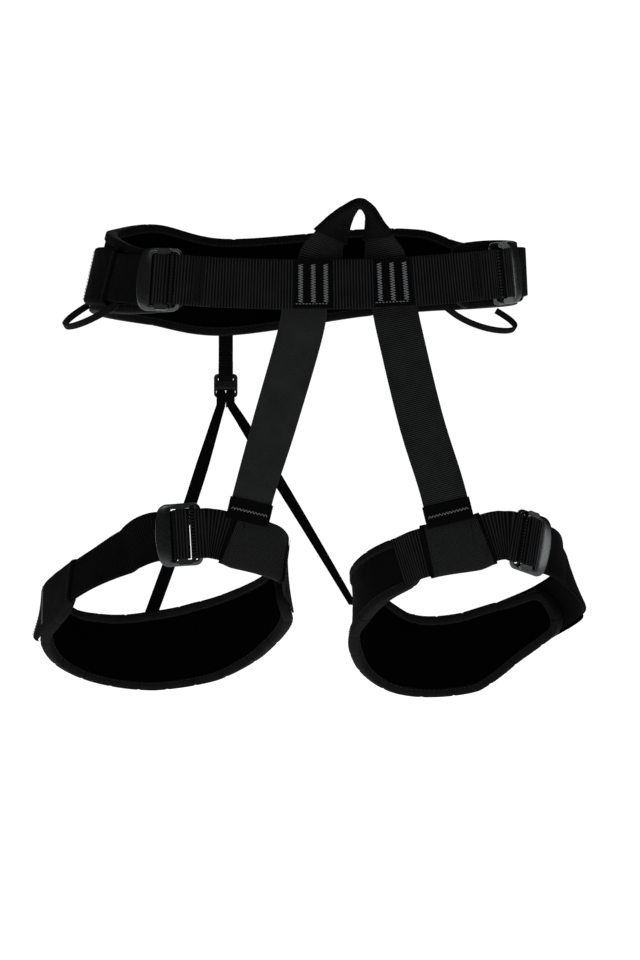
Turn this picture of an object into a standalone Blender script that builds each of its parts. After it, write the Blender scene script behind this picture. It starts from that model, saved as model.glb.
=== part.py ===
"""Climbing sit harness: padded waist belt, tie-in loop, risers and two padded leg loops.

Metres, +Z up. The tie-in side faces -Y. All driving sizes below are in millimetres.
Every soft piece follows one of three closed centre lines (waist, left leg, right leg) and
is placed by its distance along that line, its half heights and its stand-off from it.
"""
import math

import bmesh
import bpy
import numpy as np

MM = 0.001
WEB = 45.0            # width of all load-bearing webbing
WEB_T = 1.8           # webbing thickness
GAP = 0.3             # air kept between neighbouring pieces

# Stand-offs from a centre line, inner face to outer face
LINING = (0.0, 1.0)
FOAM = (1.3, 5.3)
SHELL = (5.6, 6.6)
STRAP_OFF = 10.3      # load layer of an adjustable strap
TAIL_OFF = 12.8       # its tail, doubled back over it
COVER = (14.2, 15.2)
RIM = 7.0             # width of a pad's edge row, under its rim tape
FRONT_OFF = 15.2      # front waist webbing

# Buckle, in its own plane: q runs from the fixed bar to the rounded end
FRAME_OFF = (14.2, 17.4)
FRAME_Q = (-18.5, 19.5)
FRAME_HALF = 28.5
FRAME_BOW = 4.5
WINDOW_Q = (-14.0, 15.5)
WINDOW_HALF = 23.6
SLIDER_OFF = (17.7, 20.2)
SLIDER_BAR_Q = (-5.0, 4.0)
SLIDER_EAR_Q = (-9.5, 4.0)
SLIDER_HALF = 28.0
SLIDER_BAR_HALF = 23.3

# Waist centre line: x, y, z, the belt pad's rise and drop from it, and its inward lean
WAIST = [
    (-20, -70, 0, 23, 23, 0), (60, -69, 1, 23, 23, 0), (114, -62, 5, 27, 27, 0),
    (154, -42, 11, 30, 28, 1), (186, -8, 17, 28, 28, 0), (182, 35, 18, 26, 28, 2),
    (146, 74, 18, 34, 28, 0), (112, 84, 17, 48, 28, 0), (50, 90, 14, 52, 30, 0),
    (-79, 92, 12, 45, 46, 0), (-148, 78, 14, 55, 39, 6), (-184, 38, 14, 46, 35, 8),
    (-186, -10, 11, 39, 31, 14), (-157, -48, 6, 29, 30, 11), (-110, -66, 3, 24, 25, 2),
]
WAIST_AXIS = (0.0, 0.0, 1.0)
PAD_RIGHT_END = 156.0        # belt pad starts here, measured from the front centre
PAD_LEFT_END = -92.0
BUCKLE_RIGHT = 202.0
BUCKLE_LEFT = -108.0

# Leg centre lines: x, y, z, inward lean; from the riser sleeve over the buckle and outside
# to the rear and back along the inside
LEG_LEFT = [
    (-50, -57, -237, 4), (-112, -60, -227, 6), (-152, -55, -242, 22), (-184, -42, -260, 32),
    (-216, -16, -281, 27), (-237, 12, -303, 12), (-227, 39, -326, 0), (-196, 56, -339, 0),
    (-152, 62, -341, 0), (-101, 57, -331, 0), (-58, 37, -310, 0), (-29, 0, -284, 8),
    (-33, -36, -257, 6),
]
LEG_RIGHT = [
    (135, -59, -237, 4), (190, -43, -234, 8), (225, -16, -257, 26), (240, 13, -284, 26),
    (222, 40, -302, 10), (186, 56, -319, 0), (142, 61, -339, 0), (94, 54, -342, 0),
    (63, 36, -320, 0), (50, 4, -291, 0), (65, -29, -266, 4), (98, -50, -248, 4),
]
LEG_AXIS = (0.0, 0.0, 1.0)
LEG_BUCKLE = 64.0
SLEEVE_HALF = 23.0
# Leg pads: share of the way round, rise, drop
PAD_LEFT = [(0.32, 20, 18), (0.40, 23, 21), (0.50, 32, 29), (0.60, 37, 36),
            (0.69, 37, 38), (0.77, 32, 35), (0.86, 25, 27), (0.935, 23, 24)]
PAD_RIGHT = [(0.32, 20, 20), (0.40, 23, 31), (0.50, 32, 43), (0.60, 37, 38),
             (0.69, 35, 33), (0.77, 27, 29), (0.86, 23, 25), (0.935, 22, 23)]

# Tie-in loop: x, y, z, turn of the webbing's width away from facing forward (degrees), width
TIE_IN = [(10, -75, -4, 0, 40), (12, -76, 22, 2, 40), (18, -80, 37, 30, 36),
          (28, -84, 54, 57, 32), (38, -86, 66, 78, 30), (48, -86, 72.5, 90, 29),
          (57, -85, 66, 84, 29), (62, -83, 52, 66, 32), (67, -79, 37, 36, 34),
          (71, -75, 22, 3, 38), (73, -73, -4, 0, 38)]
# Risers: x, y, z, webbing width
RISER_LEFT = [(-2, -76, -8, 41), (-5, -77, -40, 41), (-29, -79, -125, 40),
              (-46, -78, -182, 37), (-52, -77, -206, 37)]
RISER_RIGHT = [(77.5, -73.5, -8, 41), (83.5, -75, -40, 41), (102.5, -78, -120, 41),
               (120.5, -78, -178, 41), (128, -77, -207, 41)]
# Hinge lines run along X through these points
TIE_IN_PIVOT = (41.0, -74.5, -2.0)
RISER_PIVOT_LEFT = (-4.0, -76.5, -24.0)
RISER_PIVOT_RIGHT = (80.0, -74.0, -24.0)
HOOK_CENTRE = (-80.0, 102.5, -84.0)
HOOK_HALF = (11.5, 11.5)
HOOK_WINDOW = (9.4, 7.0)
ELASTIC_W = (8.6, 12.6)       # at the hook, and lower down
ELASTIC_T = 1.3
ELASTIC_DROP_LEFT = (-152, 74, -308)
ELASTIC_DROP_RIGHT = (43, 33, -294)

FABRIC = {
    "webbing": (0.016, 0.017, 0.019), "shell": (0.011, 0.012, 0.014),
    "lining": (0.013, 0.014, 0.016), "foam": (0.05, 0.05, 0.052),
    "binding": (0.020, 0.021, 0.023), "sleeve": (0.010, 0.010, 0.011),
    "thread": (0.05, 0.052, 0.055), "elastic": (0.018, 0.018, 0.020),
}


# ---------------------------------------------------------------- materials

def material(name, colour, roughness, metallic=0.0):
    """One plain Principled material, made once."""
    found = bpy.data.materials.get(name)
    if found:
        return found
    made = bpy.data.materials.new(name)
    made.use_nodes = True
    shader = made.node_tree.nodes["Principled BSDF"]
    shader.inputs["Base Color"].default_value = (*colour, 1.0)
    shader.inputs["Roughness"].default_value = roughness
    shader.inputs["Metallic"].default_value = metallic
    return made


def fabric(kind):
    """The cloth, foam or thread material of that kind."""
    return material(kind, FABRIC[kind], 0.85)


def alloy():
    """Anodised buckle alloy."""
    return material("alloy", (0.16, 0.165, 0.175), 0.38, 1.0)


def plastic():
    """Moulded black plastic."""
    return material("plastic", (0.02, 0.02, 0.022), 0.5)


# ---------------------------------------------------------------- solids

def make(name, verts, faces, look, origin=(0.0, 0.0, 0.0)):
    """One closed body from millimetre points, its origin where its joint is."""
    origin = np.asarray(origin, float)
    mesh = bpy.data.meshes.new(name)
    mesh.from_pydata([tuple((np.asarray(v) - origin) * MM) for v in verts], [], faces)
    work = bmesh.new()
    work.from_mesh(mesh)
    bmesh.ops.recalc_face_normals(work, faces=work.faces)
    bmesh.ops.triangulate(work, faces=[f for f in work.faces if len(f.verts) > 3])
    work.to_mesh(mesh)
    work.free()
    mesh.materials.append(look)
    body = bpy.data.objects.new(name, mesh)
    body.location = tuple(origin * MM)
    bpy.context.collection.objects.link(body)
    return body


def around(centre):
    """Split rule for upright bands: diagonals rise while going round this centre."""
    return lambda here: ((0.0, 0.0, 1.0), np.cross((0.0, 0.0, 1.0), here - np.asarray(centre)))


def across(_):
    """Split rule for the tie-in loop, whose width runs front to back."""
    return (0.0, 1.0, 0.0), (1.0, 0.0, 0.2)


def leaning(diagonal, rise, side):
    """How far a diagonal leans to one side as it rises."""
    return np.dot(diagonal, side) * (1.0 if np.dot(diagonal, rise) > 0 else -1.0)


UPRIGHT = around((0.0, 200.0, 0.0))


def loft(name, sections, look, closed=False, origin=(0.0, 0.0, 0.0), rule=UPRIGHT):
    """Join equal sections in order; open lofts get end caps.

    Neighbouring layers are split along the same diagonals, so thin gaps stay open.
    """
    size = len(sections[0])
    verts = [np.asarray(p, float) for section in sections for p in section]
    total = len(sections)
    faces = []
    for i in range(total if closed else total - 1):
        a, b = i * size, ((i + 1) % total) * size
        for k in range(size):
            m = (k + 1) % size
            rise, side = rule(verts[a + k])
            if (leaning(verts[b + m] - verts[a + k], rise, side)
                    > leaning(verts[b + k] - verts[a + m], rise, side)):
                faces += [(a + k, a + m, b + m), (a + k, b + m, b + k)]
            else:
                faces += [(a + k, a + m, b + k), (a + m, b + m, b + k)]
    if not closed:
        faces.append(tuple(range(size)))
        faces.append(tuple(range((total - 1) * size, total * size)))
    return make(name, verts, faces, look, origin)


# ---------------------------------------------------------------- centre lines

def smooth_line(points, closed, fine=24):
    """Fine Catmull-Rom samples through the given points, all their columns."""
    p = np.asarray(points, float)
    n = len(p)
    spans = n if closed else n - 1
    rows = []
    for i in range(spans):
        if closed:
            a, b, c, d = (p[(i + k) % n] for k in (-1, 0, 1, 2))
        else:
            b, c = p[i], p[i + 1]
            a = p[i - 1] if i else 2 * b - c
            d = p[i + 2] if i + 2 < n else 2 * c - b
        for k in range(fine):
            t = k / fine
            rows.append(0.5 * (2 * b + (c - a) * t + (2 * a - 5 * b + 4 * c - d) * t * t
                               + (3 * b - a - 3 * c + d) * t ** 3))
    rows.append(p[0] if closed else p[-1])
    return np.array(rows)


class Line:
    """A centre line that gives point, direction, width and outward normal at a distance."""

    def __init__(self, points, closed=True, axis=(0, 0, 1), facing=None, leans=False):
        self.rows = smooth_line(points, closed)
        steps = np.linalg.norm(np.diff(self.rows[:, :3], axis=0), axis=1)
        self.s = np.concatenate([[0.0], np.cumsum(steps)])
        self.length = self.s[-1]
        self.closed = closed
        self.axis = np.asarray(axis, float)
        self.facing = None if facing is None else np.asarray(facing, float)
        self.middle = self.rows[:-1, :3].mean(axis=0)
        self.leans = leans

    def row(self, s):
        s = s % self.length if self.closed else min(max(s, 0.0), self.length)
        return np.array([np.interp(s, self.s, col) for col in self.rows.T])

    def frame(self, s):
        here = self.row(s)[:3]
        step = 2.5
        along = self.row(s + step)[:3] - self.row(s - step)[:3]
        along /= np.linalg.norm(along)
        wide = self.axis - along * self.axis.dot(along)
        wide /= np.linalg.norm(wide)
        out = np.cross(along, wide)
        guide = here - self.middle if self.facing is None else self.facing
        if out.dot(guide) < 0:
            out = -out
        lean = math.radians(self.row(s)[-1]) if self.leans else 0.0
        return (here, along, wide * math.cos(lean) - out * math.sin(lean),
                out * math.cos(lean) + wide * math.sin(lean))

    def place(self, s, up, off):
        here, _, wide, out = self.frame(s)
        return here + wide * up + out * off


def sheet(name, line, start, end, count, heights, layer, look, rim=0.0):
    """A layer along a line; heights(s) gives its rise and drop, rim adds edge rows."""
    sections = []
    for s in np.linspace(start, end, count):
        rise, drop = heights(s)
        ups = [-drop, rise]
        if rim:
            ups = [-drop, -drop + rim, (rise - drop) / 2, rise - rim, rise]
        sections.append([line.place(s, u, layer[0]) for u in ups]
                        + [line.place(s, u, layer[1]) for u in ups[::-1]])
    return loft(name, sections, look, rule=around(line.middle))


def strip(name, centres, wides, width, thick, look, origin=(0.0, 0.0, 0.0), rule=UPRIGHT):
    """Webbing laid along free points, with its width direction given at each."""
    centres = np.asarray(centres, float)
    along = np.gradient(centres, axis=0)
    sections = []
    for c, t, w in zip(centres, along, wides):
        t = t / np.linalg.norm(t)
        w = w - t * w.dot(t)
        w = w / np.linalg.norm(w)
        n = np.cross(t, w)
        hw = width[len(sections)] / 2 if hasattr(width, "__len__") else width / 2
        ht = thick / 2
        sections.append([c + w * hw + n * ht, c - w * hw + n * ht,
                         c - w * hw - n * ht, c + w * hw - n * ht])
    return loft(name, sections, look, origin=origin, rule=rule)


def edge_tape(name, line, start, end, count, heights, look):
    """Folded tape round the whole rim of a pad, mitred at its four corners."""
    lo, hi = LINING[0] - 0.85, SHELL[1] + 0.85
    reach, skin = RIM, 0.9
    profile = [(-reach, lo - skin), (0.4 + skin, lo - skin), (0.4 + skin, hi + skin),
               (-reach, hi + skin), (-reach, hi), (0.4, hi), (0.4, lo), (-reach, lo)]
    sections = []
    stations = list(np.linspace(start, end, count))
    for side, order in ((1, stations), (-1, stations[::-1])):
        rims = [side * heights(s)[0 if side > 0 else 1] for s in order]
        for k, s in enumerate(order):
            near = {0: 1, count - 1: -2}.get(k)
            section = []
            for d, n in profile:
                point = line.place(s, rims[k] + side * d, n)
                if near is not None:
                    inward = line.place(order[near], rims[near] + side * d, n) - point
                    point = point - inward / np.linalg.norm(inward) * d
                section.append(point)
            sections.append(section)
    return loft(name, sections, look, closed=True, rule=around(line.middle))


def pad(prefix, line, start, end, count, heights):
    """Lining, foam, shell and rim tape of one pad."""
    sheet(prefix + "_lining", line, start, end, count, heights, LINING, fabric("lining"), RIM)
    sheet(prefix + "_foam", line, start, end, count, heights, FOAM, fabric("foam"), RIM)
    sheet(prefix + "_shell", line, start, end, count, heights, SHELL, fabric("shell"), RIM)
    edge_tape(prefix + "_binding", line, start, end, count, heights, fabric("binding"))


# ---------------------------------------------------------------- buckles

class Seat:
    """The flat plane a buckle lies in; q points to its rounded end."""

    def __init__(self, line, s, way):
        here, along, wide, out = line.frame(s)
        self.here, self.q, self.wide, self.out = here, along * way, wide, out
        self.line, self.s, self.way = line, s, way

    def at(self, q, up, off):
        return self.here + self.q * q + self.wide * up + self.out * off

    def path(self, pairs):
        """Points and widths of webbing given as q and stand-off near the buckle."""
        points, wides = [], []
        for q, off in pairs:
            flat = self.at(q, 0.0, off)
            _, _, wide, _ = self.line.frame(self.s + self.way * q)
            bent = self.line.place(self.s + self.way * q, 0.0, off)
            mix = min(max((abs(q) - 24.0) / 26.0, 0.0), 1.0)
            points.append(flat * (1 - mix) + bent * mix)
            mixed = self.wide * (1 - mix) + wide * mix
            wides.append(mixed / np.linalg.norm(mixed))
        return points, wides


def rounded(q0, q1, half, radius, bow, side_steps=5):
    """Outline of a plate, its q1 side bowed out."""
    points = []
    corners = ((q0, -half, 180), (q1, -half, 270), (q1, half, 0), (q0, half, 90))
    for cq, cu, turn in corners:
        mq = cq + (radius if cq == q0 else -radius)
        mu = cu + (radius if cu < 0 else -radius)
        for k in range(4):
            a = math.radians(turn + 30 * k)
            points.append([mq + radius * math.cos(a), mu + radius * math.sin(a)])
        if turn == 270:
            for k in range(1, side_steps + 1):
                u = -half + radius + (2 * half - 2 * radius) * k / (side_steps + 1)
                points.append([q1, u])
    for p in points:
        share = min(max((p[0] - q0) / (q1 - q0), 0.0), 1.0)
        p[0] += bow * share * (1 - (p[1] / half) ** 2)
    return points


def ring_plate(name, seat, outer, inner, layer, look, bevel=0.8, origin=(0.0, 0.0, 0.0)):
    """A plate with one window and softened outer edges."""
    lo, hi = layer
    middle = np.mean(outer, axis=0)
    sections = []
    for o, i in zip(outer, inner):
        pull = (middle - o) / np.linalg.norm(middle - o) * bevel
        soft = np.asarray(o) + pull
        rows = [(soft, lo), (o, lo + bevel), (o, hi - bevel), (soft, hi), (i, hi), (i, lo)]
        sections.append([seat.at(p[0], p[1], n) for p, n in rows])
    return loft(name, sections, look, closed=True, origin=origin)


def buckle(prefix, seat):
    """Frame with a rounded end, and the slider bar that lies across it."""
    outer = rounded(*FRAME_Q, FRAME_HALF, 7.0, FRAME_BOW)
    inner = rounded(*WINDOW_Q, WINDOW_HALF, 0.9, FRAME_BOW * 0.8)
    ring_plate(prefix + "_frame", seat, outer, inner, FRAME_OFF, alloy())
    q0, q1 = SLIDER_EAR_Q
    b0 = SLIDER_BAR_Q[0]
    h, b = SLIDER_HALF, SLIDER_BAR_HALF
    shape = [(q0 + 2, -h), (q1 - 2, -h), (q1, -h + 2), (q1, h - 2), (q1 - 2, h), (q0 + 2, h),
             (q0, h - 1.5), (q0, b + 1), (q0 + 1, b), (b0, b), (b0, -b), (q0 + 1, -b),
             (q0, -b - 1), (q0, -h + 1.5)]
    sections = [[seat.at(q, u, n) for q, u in shape] for n in SLIDER_OFF]
    pivot = seat.at(SLIDER_EAR_Q[0], 0.0, SLIDER_OFF[0])
    loft(prefix + "_slider", sections, alloy(), origin=pivot)
    bight(prefix + "_bight", seat, pivot)


def arc(q, off, radius, start, stop, steps=5):
    """Points of a bend in the q and stand-off plane, angles in degrees."""
    angles = np.radians(np.linspace(start, stop, steps))
    return [(q + radius * math.cos(a), off + radius * math.sin(a)) for a in angles]


def bight(name, seat, pivot):
    """The webbing's turn round the slider bar."""
    mid = sum(SLIDER_OFF) / 2
    radius = (SLIDER_OFF[1] - SLIDER_OFF[0]) / 2 + GAP + WEB_T / 2
    b0, b1 = SLIDER_BAR_Q
    turn = arc(b0 + 0.6, mid, radius, 90, 270, 7)
    pairs = [(b1 + 0.4, mid + radius), (0.0, mid + radius), *turn,
             (0.0, mid - radius), (b1 + 0.4, mid - radius)]
    points, wides = seat.path(pairs)
    strip(name, points, wides, WEB - 0.4, WEB_T, fabric("webbing"), origin=pivot)


def adjustable_strap(name, seat, sewn, tail):
    """Load layer from its sewn end to the buckle, folded back as a shorter tail."""
    shared = list(np.arange(26.0, tail + 0.1, 5.0))
    far = list(np.arange(shared[-1] + 7.0, sewn + 0.1, 7.0))
    load = [(q, STRAP_OFF) for q in (shared + far)[::-1]]
    fold = [(18.0, STRAP_OFF)]
    fold += arc(10.0, (STRAP_OFF + TAIL_OFF) / 2, (TAIL_OFF - STRAP_OFF) / 2, 270, 90, 5)
    fold += [(18.0, TAIL_OFF)]
    end = [(q, TAIL_OFF) for q in shared]
    points, wides = seat.path(load + fold + end)
    strip(name, points, wides, WEB, WEB_T, fabric("webbing"), rule=around(seat.line.middle))


def fixed_loop(reach, onwards):
    """Sewn loop round the frame's straight bar, from its short end to q = -onwards."""
    bar_q = WINDOW_Q[0] - 0.4
    mid = sum(FRAME_OFF) / 2
    radius = (FRAME_OFF[1] - FRAME_OFF[0]) / 2 + GAP + WEB_T / 2
    under, over = FRONT_OFF - 2.8, FRONT_OFF
    shared = list(np.arange(28.0, reach + 0.1, 4.0))
    short = [(-q, under) for q in shared[::-1]] + [(-23.0, mid - radius)]
    turn = arc(bar_q, mid, radius, 270, 450, 7)
    slope = [(bar_q - 5.5, mid + radius), (-24.0, mid + radius - 1.2)]
    rest = [(-q, over) for q in shared + list(np.arange(shared[-1] + 4.0, onwards + 0.1, 4.0))]
    return short + turn + slope + rest


# ---------------------------------------------------------------- waist

def waist_heights(line):
    return lambda s: tuple(line.row(s)[3:5])


def waist_belt(line):
    """Rear belt pad with its two hip covers."""
    start, end = PAD_RIGHT_END, line.length + PAD_LEFT_END
    heights = waist_heights(line)
    pad("waist", line, start, end, 40, heights)

    def cover(s):
        return 25.5, 24.5
    sheet("hip_cover_right", line, BUCKLE_RIGHT + 52, BUCKLE_RIGHT + 98, 13, cover, COVER,
          fabric("shell"))
    sheet("hip_cover_left", line, BUCKLE_LEFT - 98, BUCKLE_LEFT - 52, 13, cover, COVER,
          fabric("shell"))


def front_webbing(line, left, right):
    """Front waist webbing, looped and sewn round the fixed bar of both buckles."""
    reach, onwards = 44.0, 56.0
    points, wides = left.path(fixed_loop(reach, onwards))
    for s in np.arange(BUCKLE_LEFT + onwards + 8.0, BUCKLE_RIGHT - onwards - 5.0, 8.0):
        points.append(line.place(s, 0.0, FRONT_OFF))
        wides.append(line.frame(s)[2])
    more, also = right.path(fixed_loop(reach, onwards)[::-1])
    strip("front_webbing", points + more, wides + also, WEB, WEB_T, fabric("webbing"),
          rule=around(line.middle))


def tack_block(name, line, x_mid, half, rows):
    """Raised stitch block where a riser is sewn behind the front webbing."""
    s = float(np.interp(x_mid, line.rows[:60, 0], line.s[:60]))
    z0 = FRONT_OFF + WEB_T / 2 + GAP
    sections = []
    for k, q in enumerate(np.linspace(-half, half, 4 * rows + 1)):
        lift = 0.9 if k % 4 in (1, 2, 3) else 0.5
        sections.append([line.place(s + q, u, z0 + h)
                         for u, h in ((-18.5, 0), (18, 0), (18, lift), (-18.5, lift))])
    loft(name, sections, fabric("thread"))


def gear_loop(name, line, back, front, low, bulge):
    """Thin webbing loop that hangs off the hip, on the hinge line through its two ends."""
    a = line.place(*back)
    b = line.place(*front)
    middle = (a + b) / 2
    low = np.array(low)
    centres = []
    for k in range(17):
        t = math.pi * k / 16
        centres.append(middle + (a - middle) * math.cos(t) * (1 + bulge * math.sin(t))
                       + low * math.sin(t) ** 0.9)
    across = np.cross(a - b, low)
    across /= np.linalg.norm(across)
    strip(name, centres, [across] * len(centres), 6.6, 2.6, fabric("webbing"), origin=middle)


# ---------------------------------------------------------------- tie-in loop and risers

def tie_in_frames(count):
    """Point, direction, width direction and width along the twisted tie-in loop."""
    line = Line(TIE_IN, closed=False)
    out = []
    for s in np.linspace(0.0, line.length, count):
        here = line.row(s)
        along = line.row(s + 2)[:3] - line.row(s - 2)[:3]
        along /= np.linalg.norm(along)
        turn = math.radians(here[3])
        side = np.cross(along, (0.0, -1.0, 0.0))
        side /= np.linalg.norm(side)
        wide = side * math.cos(turn) + np.array([0, 1.0, 0]) * math.sin(turn)
        wide -= along * wide.dot(along)
        wide /= np.linalg.norm(wide)
        out.append((here[:3], along, wide, here[4]))
    return out


def tie_in_loop(origin):
    """Doubled tie-in webbing and the tube that guards its crown."""
    stations = tie_in_frames(41)
    strip("tie_in_webbing", [f[0] for f in stations], [f[2] for f in stations],
          [f[3] for f in stations], 3.6, fabric("webbing"), origin=origin, rule=across)
    guarded = stations[11:31]
    tube("tie_in_guard", [f[:3] for f in guarded], [(f[3] / 2 + 1.2, 2.9) for f in guarded],
         [(f[3] / 2 + 2.4, 4.1) for f in guarded], fabric("sleeve"), origin, across)


def tube(name, frames, inner, outer, look, origin=(0.0, 0.0, 0.0), rule=UPRIGHT):
    """A closed sleeve along point, direction and width frames."""
    ring = [(-1, -1), (-0.94, -1), (0.94, -1), (1, -1), (1, 1), (0.94, 1), (-0.94, 1), (-1, 1)]
    if isinstance(inner, tuple):
        inner = [inner] * len(frames)
        outer = [outer] * len(frames)
    sections = []
    for a, b in ring:
        soft = 1.0 if abs(a) < 0.99 else 0.8
        section = []
        for sizes, step in ((outer, 1), (inner, -1)):
            for (here, along, wide), size in zip(frames[::step], sizes[::step]):
                wide = wide - along * np.dot(along, wide)
                wide = wide / np.linalg.norm(wide)
                thick = np.cross(along, wide)
                section.append(here + wide * a * size[0] + thick * b * size[1] * soft)
        sections.append(section)
    return loft(name, sections, look, closed=True, origin=origin, rule=rule)


def riser(name, points, origin):
    """Webbing from behind the front waist webbing down to the leg sleeve."""
    line = Line(points, closed=False, axis=(1, 0, 0), facing=(0, -1, 0))
    where = np.linspace(0.0, line.length, 12)
    frames = [line.frame(s) for s in where]
    widths = [line.row(s)[3] for s in where]
    strip(name, [f[0] for f in frames], [f[2] for f in frames], widths, 2.4,
          fabric("webbing"), origin=origin)
    ends = [line.frame(s) for s in (line.length - 13.0, line.length - 6.5, line.length)]
    lifted = [f[0] + np.array([0, -1.0, 0]) * (1.2 + GAP + 0.5) for f in ends]
    strip(name + "_band", lifted, [f[2] for f in ends], widths[-1] + 2.0, 1.0,
          fabric("sleeve"))


# ---------------------------------------------------------------- legs

def leg_loop(side, points, pad_end):
    """Pad, strap, buckle, fixed webbing, riser sleeve and outer panel of one leg loop."""
    line = Line(points, axis=LEG_AXIS, leans=True)
    size = line.length
    table = np.array(PAD_LEFT if side == "left" else PAD_RIGHT)

    def heights(s):
        share = s / size
        return (float(np.interp(share, table[:, 0], table[:, 1])),
                float(np.interp(share, table[:, 0], table[:, 2])))
    start, end = table[0, 0] * size, pad_end * size
    pad("leg_" + side, line, start, end, 32, heights)
    seat = Seat(line, LEG_BUCKLE, 1)
    buckle("leg_" + side, seat)
    adjustable_strap("leg_" + side + "_strap", seat, start + 40 - LEG_BUCKLE,
                     start + 14 - LEG_BUCKLE)
    fixed_webbing("leg_" + side + "_anchor", seat, end - size + 6)
    covered = np.arange(-SLEEVE_HALF, SLEEVE_HALF + 0.1, 4.6) - LEG_BUCKLE
    points, wides = seat.path([(q, FRONT_OFF) for q in covered])
    alongs = np.gradient(points, axis=0)
    frames = [(p, t / np.linalg.norm(t), w) for p, t, w in zip(points, alongs, wides)]
    tube("leg_" + side + "_sleeve", frames, (23.3, 2.2), (24.7, 3.6), fabric("sleeve"),
         rule=around(line.middle))

    def panel(s):
        return 24.5, 24.5
    sheet("leg_" + side + "_panel", line, start - 12, start + 52, 13, panel, COVER,
          fabric("shell"))
    return line


def fixed_webbing(name, seat, last):
    """Fixed leg webbing: sewn loop round the buckle, through the sleeve, on to the pad."""
    pairs = fixed_loop(36.0, 40.0)
    for q in np.arange(-44.0, last - LEG_BUCKLE - 26.0, -4.0):
        drop = min(max((-SLEEVE_HALF - 9.0 - q - LEG_BUCKLE) / 16.0, 0.0), 1.0)
        pairs.append((q, FRONT_OFF + (STRAP_OFF - FRONT_OFF) * drop))
    points, wides = seat.path(pairs)
    strip(name, points, wides, WEB, WEB_T, fabric("webbing"), rule=around(seat.line.middle))


# ---------------------------------------------------------------- rear hanger

def rear_hanger(line):
    """Short tab under the belt and the hook that carries both elastics."""
    x, y, z = HOOK_CENTRE
    top_bar = z + (HOOK_HALF[1] + HOOK_WINDOW[1]) / 2
    front = [(x, y - 0.2 + 0.9, -8), (x, y + 0.8, -50), (x, y - 2.9, top_bar + 8)]
    bend = []
    for a in np.radians(np.linspace(160, 380, 7)):
        bend.append((x, y + 3.6 * math.cos(a), top_bar + 3.6 * math.sin(a)))
    back = [(x, y + 3.4, top_bar + 8), (x, y + 2.6, -60)]
    centres = front + bend + back
    strip("rear_tab", centres, [np.array([1.0, 0, 0])] * len(centres), 14.0, 1.4,
          fabric("webbing"))
    seat = Line([(x - 30, y, z), (x, y, z), (x + 30, y, z)], closed=False, facing=(0, 1, 0))
    place = Seat(seat, 30.0, 1)
    outer = rounded(-HOOK_HALF[0], HOOK_HALF[0], HOOK_HALF[1], 3.5, 0.0)
    inner = rounded(-HOOK_WINDOW[0], HOOK_WINDOW[0], HOOK_WINDOW[1], 0.4, 0.0)
    ring_plate("rear_hook", place, outer, inner, (-1.6, 1.6), plastic(), 0.6)


def elastic(name, shift, end, end_wide, bow):
    """Elastic looped round the hook's lower bar and led down to a leg pad."""
    x, y, z = HOOK_CENTRE
    bar = z - (HOOK_HALF[1] + HOOK_WINDOW[1]) / 2
    start = np.array([x + shift, y, bar])
    across = np.array([1.0, 0.0, 0.0])
    centres = [start + (0, -3.9, -12), start + (0, -3.9, -5)]
    for a in np.radians(np.linspace(0, 180, 7)):
        centres.append(start + np.array([0, -3.9 * math.cos(a), 3.9 * math.sin(a)]))
    low = start + np.array([0, 3.6, -8])
    wides = [across] * len(centres)
    widths = [ELASTIC_W[0]] * len(centres)
    end = np.asarray(end, float)
    end_wide = np.asarray(end_wide, float)
    for t in np.linspace(0.0, 1.0, 9):
        centres.append(low * (1 - t) + end * t + np.asarray(bow) * math.sin(math.pi * t))
        wides.append(across * (1 - t) + end_wide * t)
        widths.append(float(np.interp(t, (0.0, 0.3), ELASTIC_W)))
    strip(name, centres, wides, widths, ELASTIC_T, fabric("elastic"), origin=start)


# ---------------------------------------------------------------- assembly

def clear_scene():
    for old in list(bpy.data.objects):
        bpy.data.objects.remove(old, do_unlink=True)


def build():
    """Put the whole harness together."""
    clear_scene()
    waist = Line(WAIST, axis=WAIST_AXIS, leans=True)
    waist_belt(waist)
    left = Seat(waist, BUCKLE_LEFT, -1)
    right = Seat(waist, BUCKLE_RIGHT, 1)
    buckle("waist_left", left)
    buckle("waist_right", right)
    front_webbing(waist, left, right)
    adjustable_strap("waist_left_strap", left, 120.0, 74.0)
    adjustable_strap("waist_right_strap", right, 120.0, 74.0)
    tack_block("tack_block_left", waist, 6.0, 17.0, 3)
    tack_block("tack_block_right", waist, 76.0, 17.0, 3)
    tie_in_loop(TIE_IN_PIVOT)
    riser("riser_left", RISER_LEFT, RISER_PIVOT_LEFT)
    riser("riser_right", RISER_RIGHT, RISER_PIVOT_RIGHT)
    leg_loop("left", LEG_LEFT, 0.90)
    leg_loop("right", LEG_RIGHT, 0.935)
    gear_loop("gear_loop_left", waist, (BUCKLE_LEFT - 106, -27, 11.5),
              (BUCKLE_LEFT - 31, -27, 21.5), (-31, -10, -21), 0.1)
    gear_loop("gear_loop_right", waist, (BUCKLE_RIGHT - 8, -33.5, 8),
              (BUCKLE_RIGHT - 62, -26, 15.2), (28, -6, -20), 0.3)
    rear_hanger(waist)
    elastic("elastic_left", -4.6, ELASTIC_DROP_LEFT, (1.0, 0.0, 0.1), (2, 6, 0))
    elastic("elastic_right", 4.6, ELASTIC_DROP_RIGHT, (0.5, 0.8, 0.0), (1, 6, 0))


build()
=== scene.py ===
"""Looks of the climbing harness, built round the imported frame.

Lengths in this script are millimetres until a mesh is made; +Z up, the tie-in side faces -Y.
Soft pieces follow the same three centre lines as the CAD part: waist, left leg, right leg.
"""
import math

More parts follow.
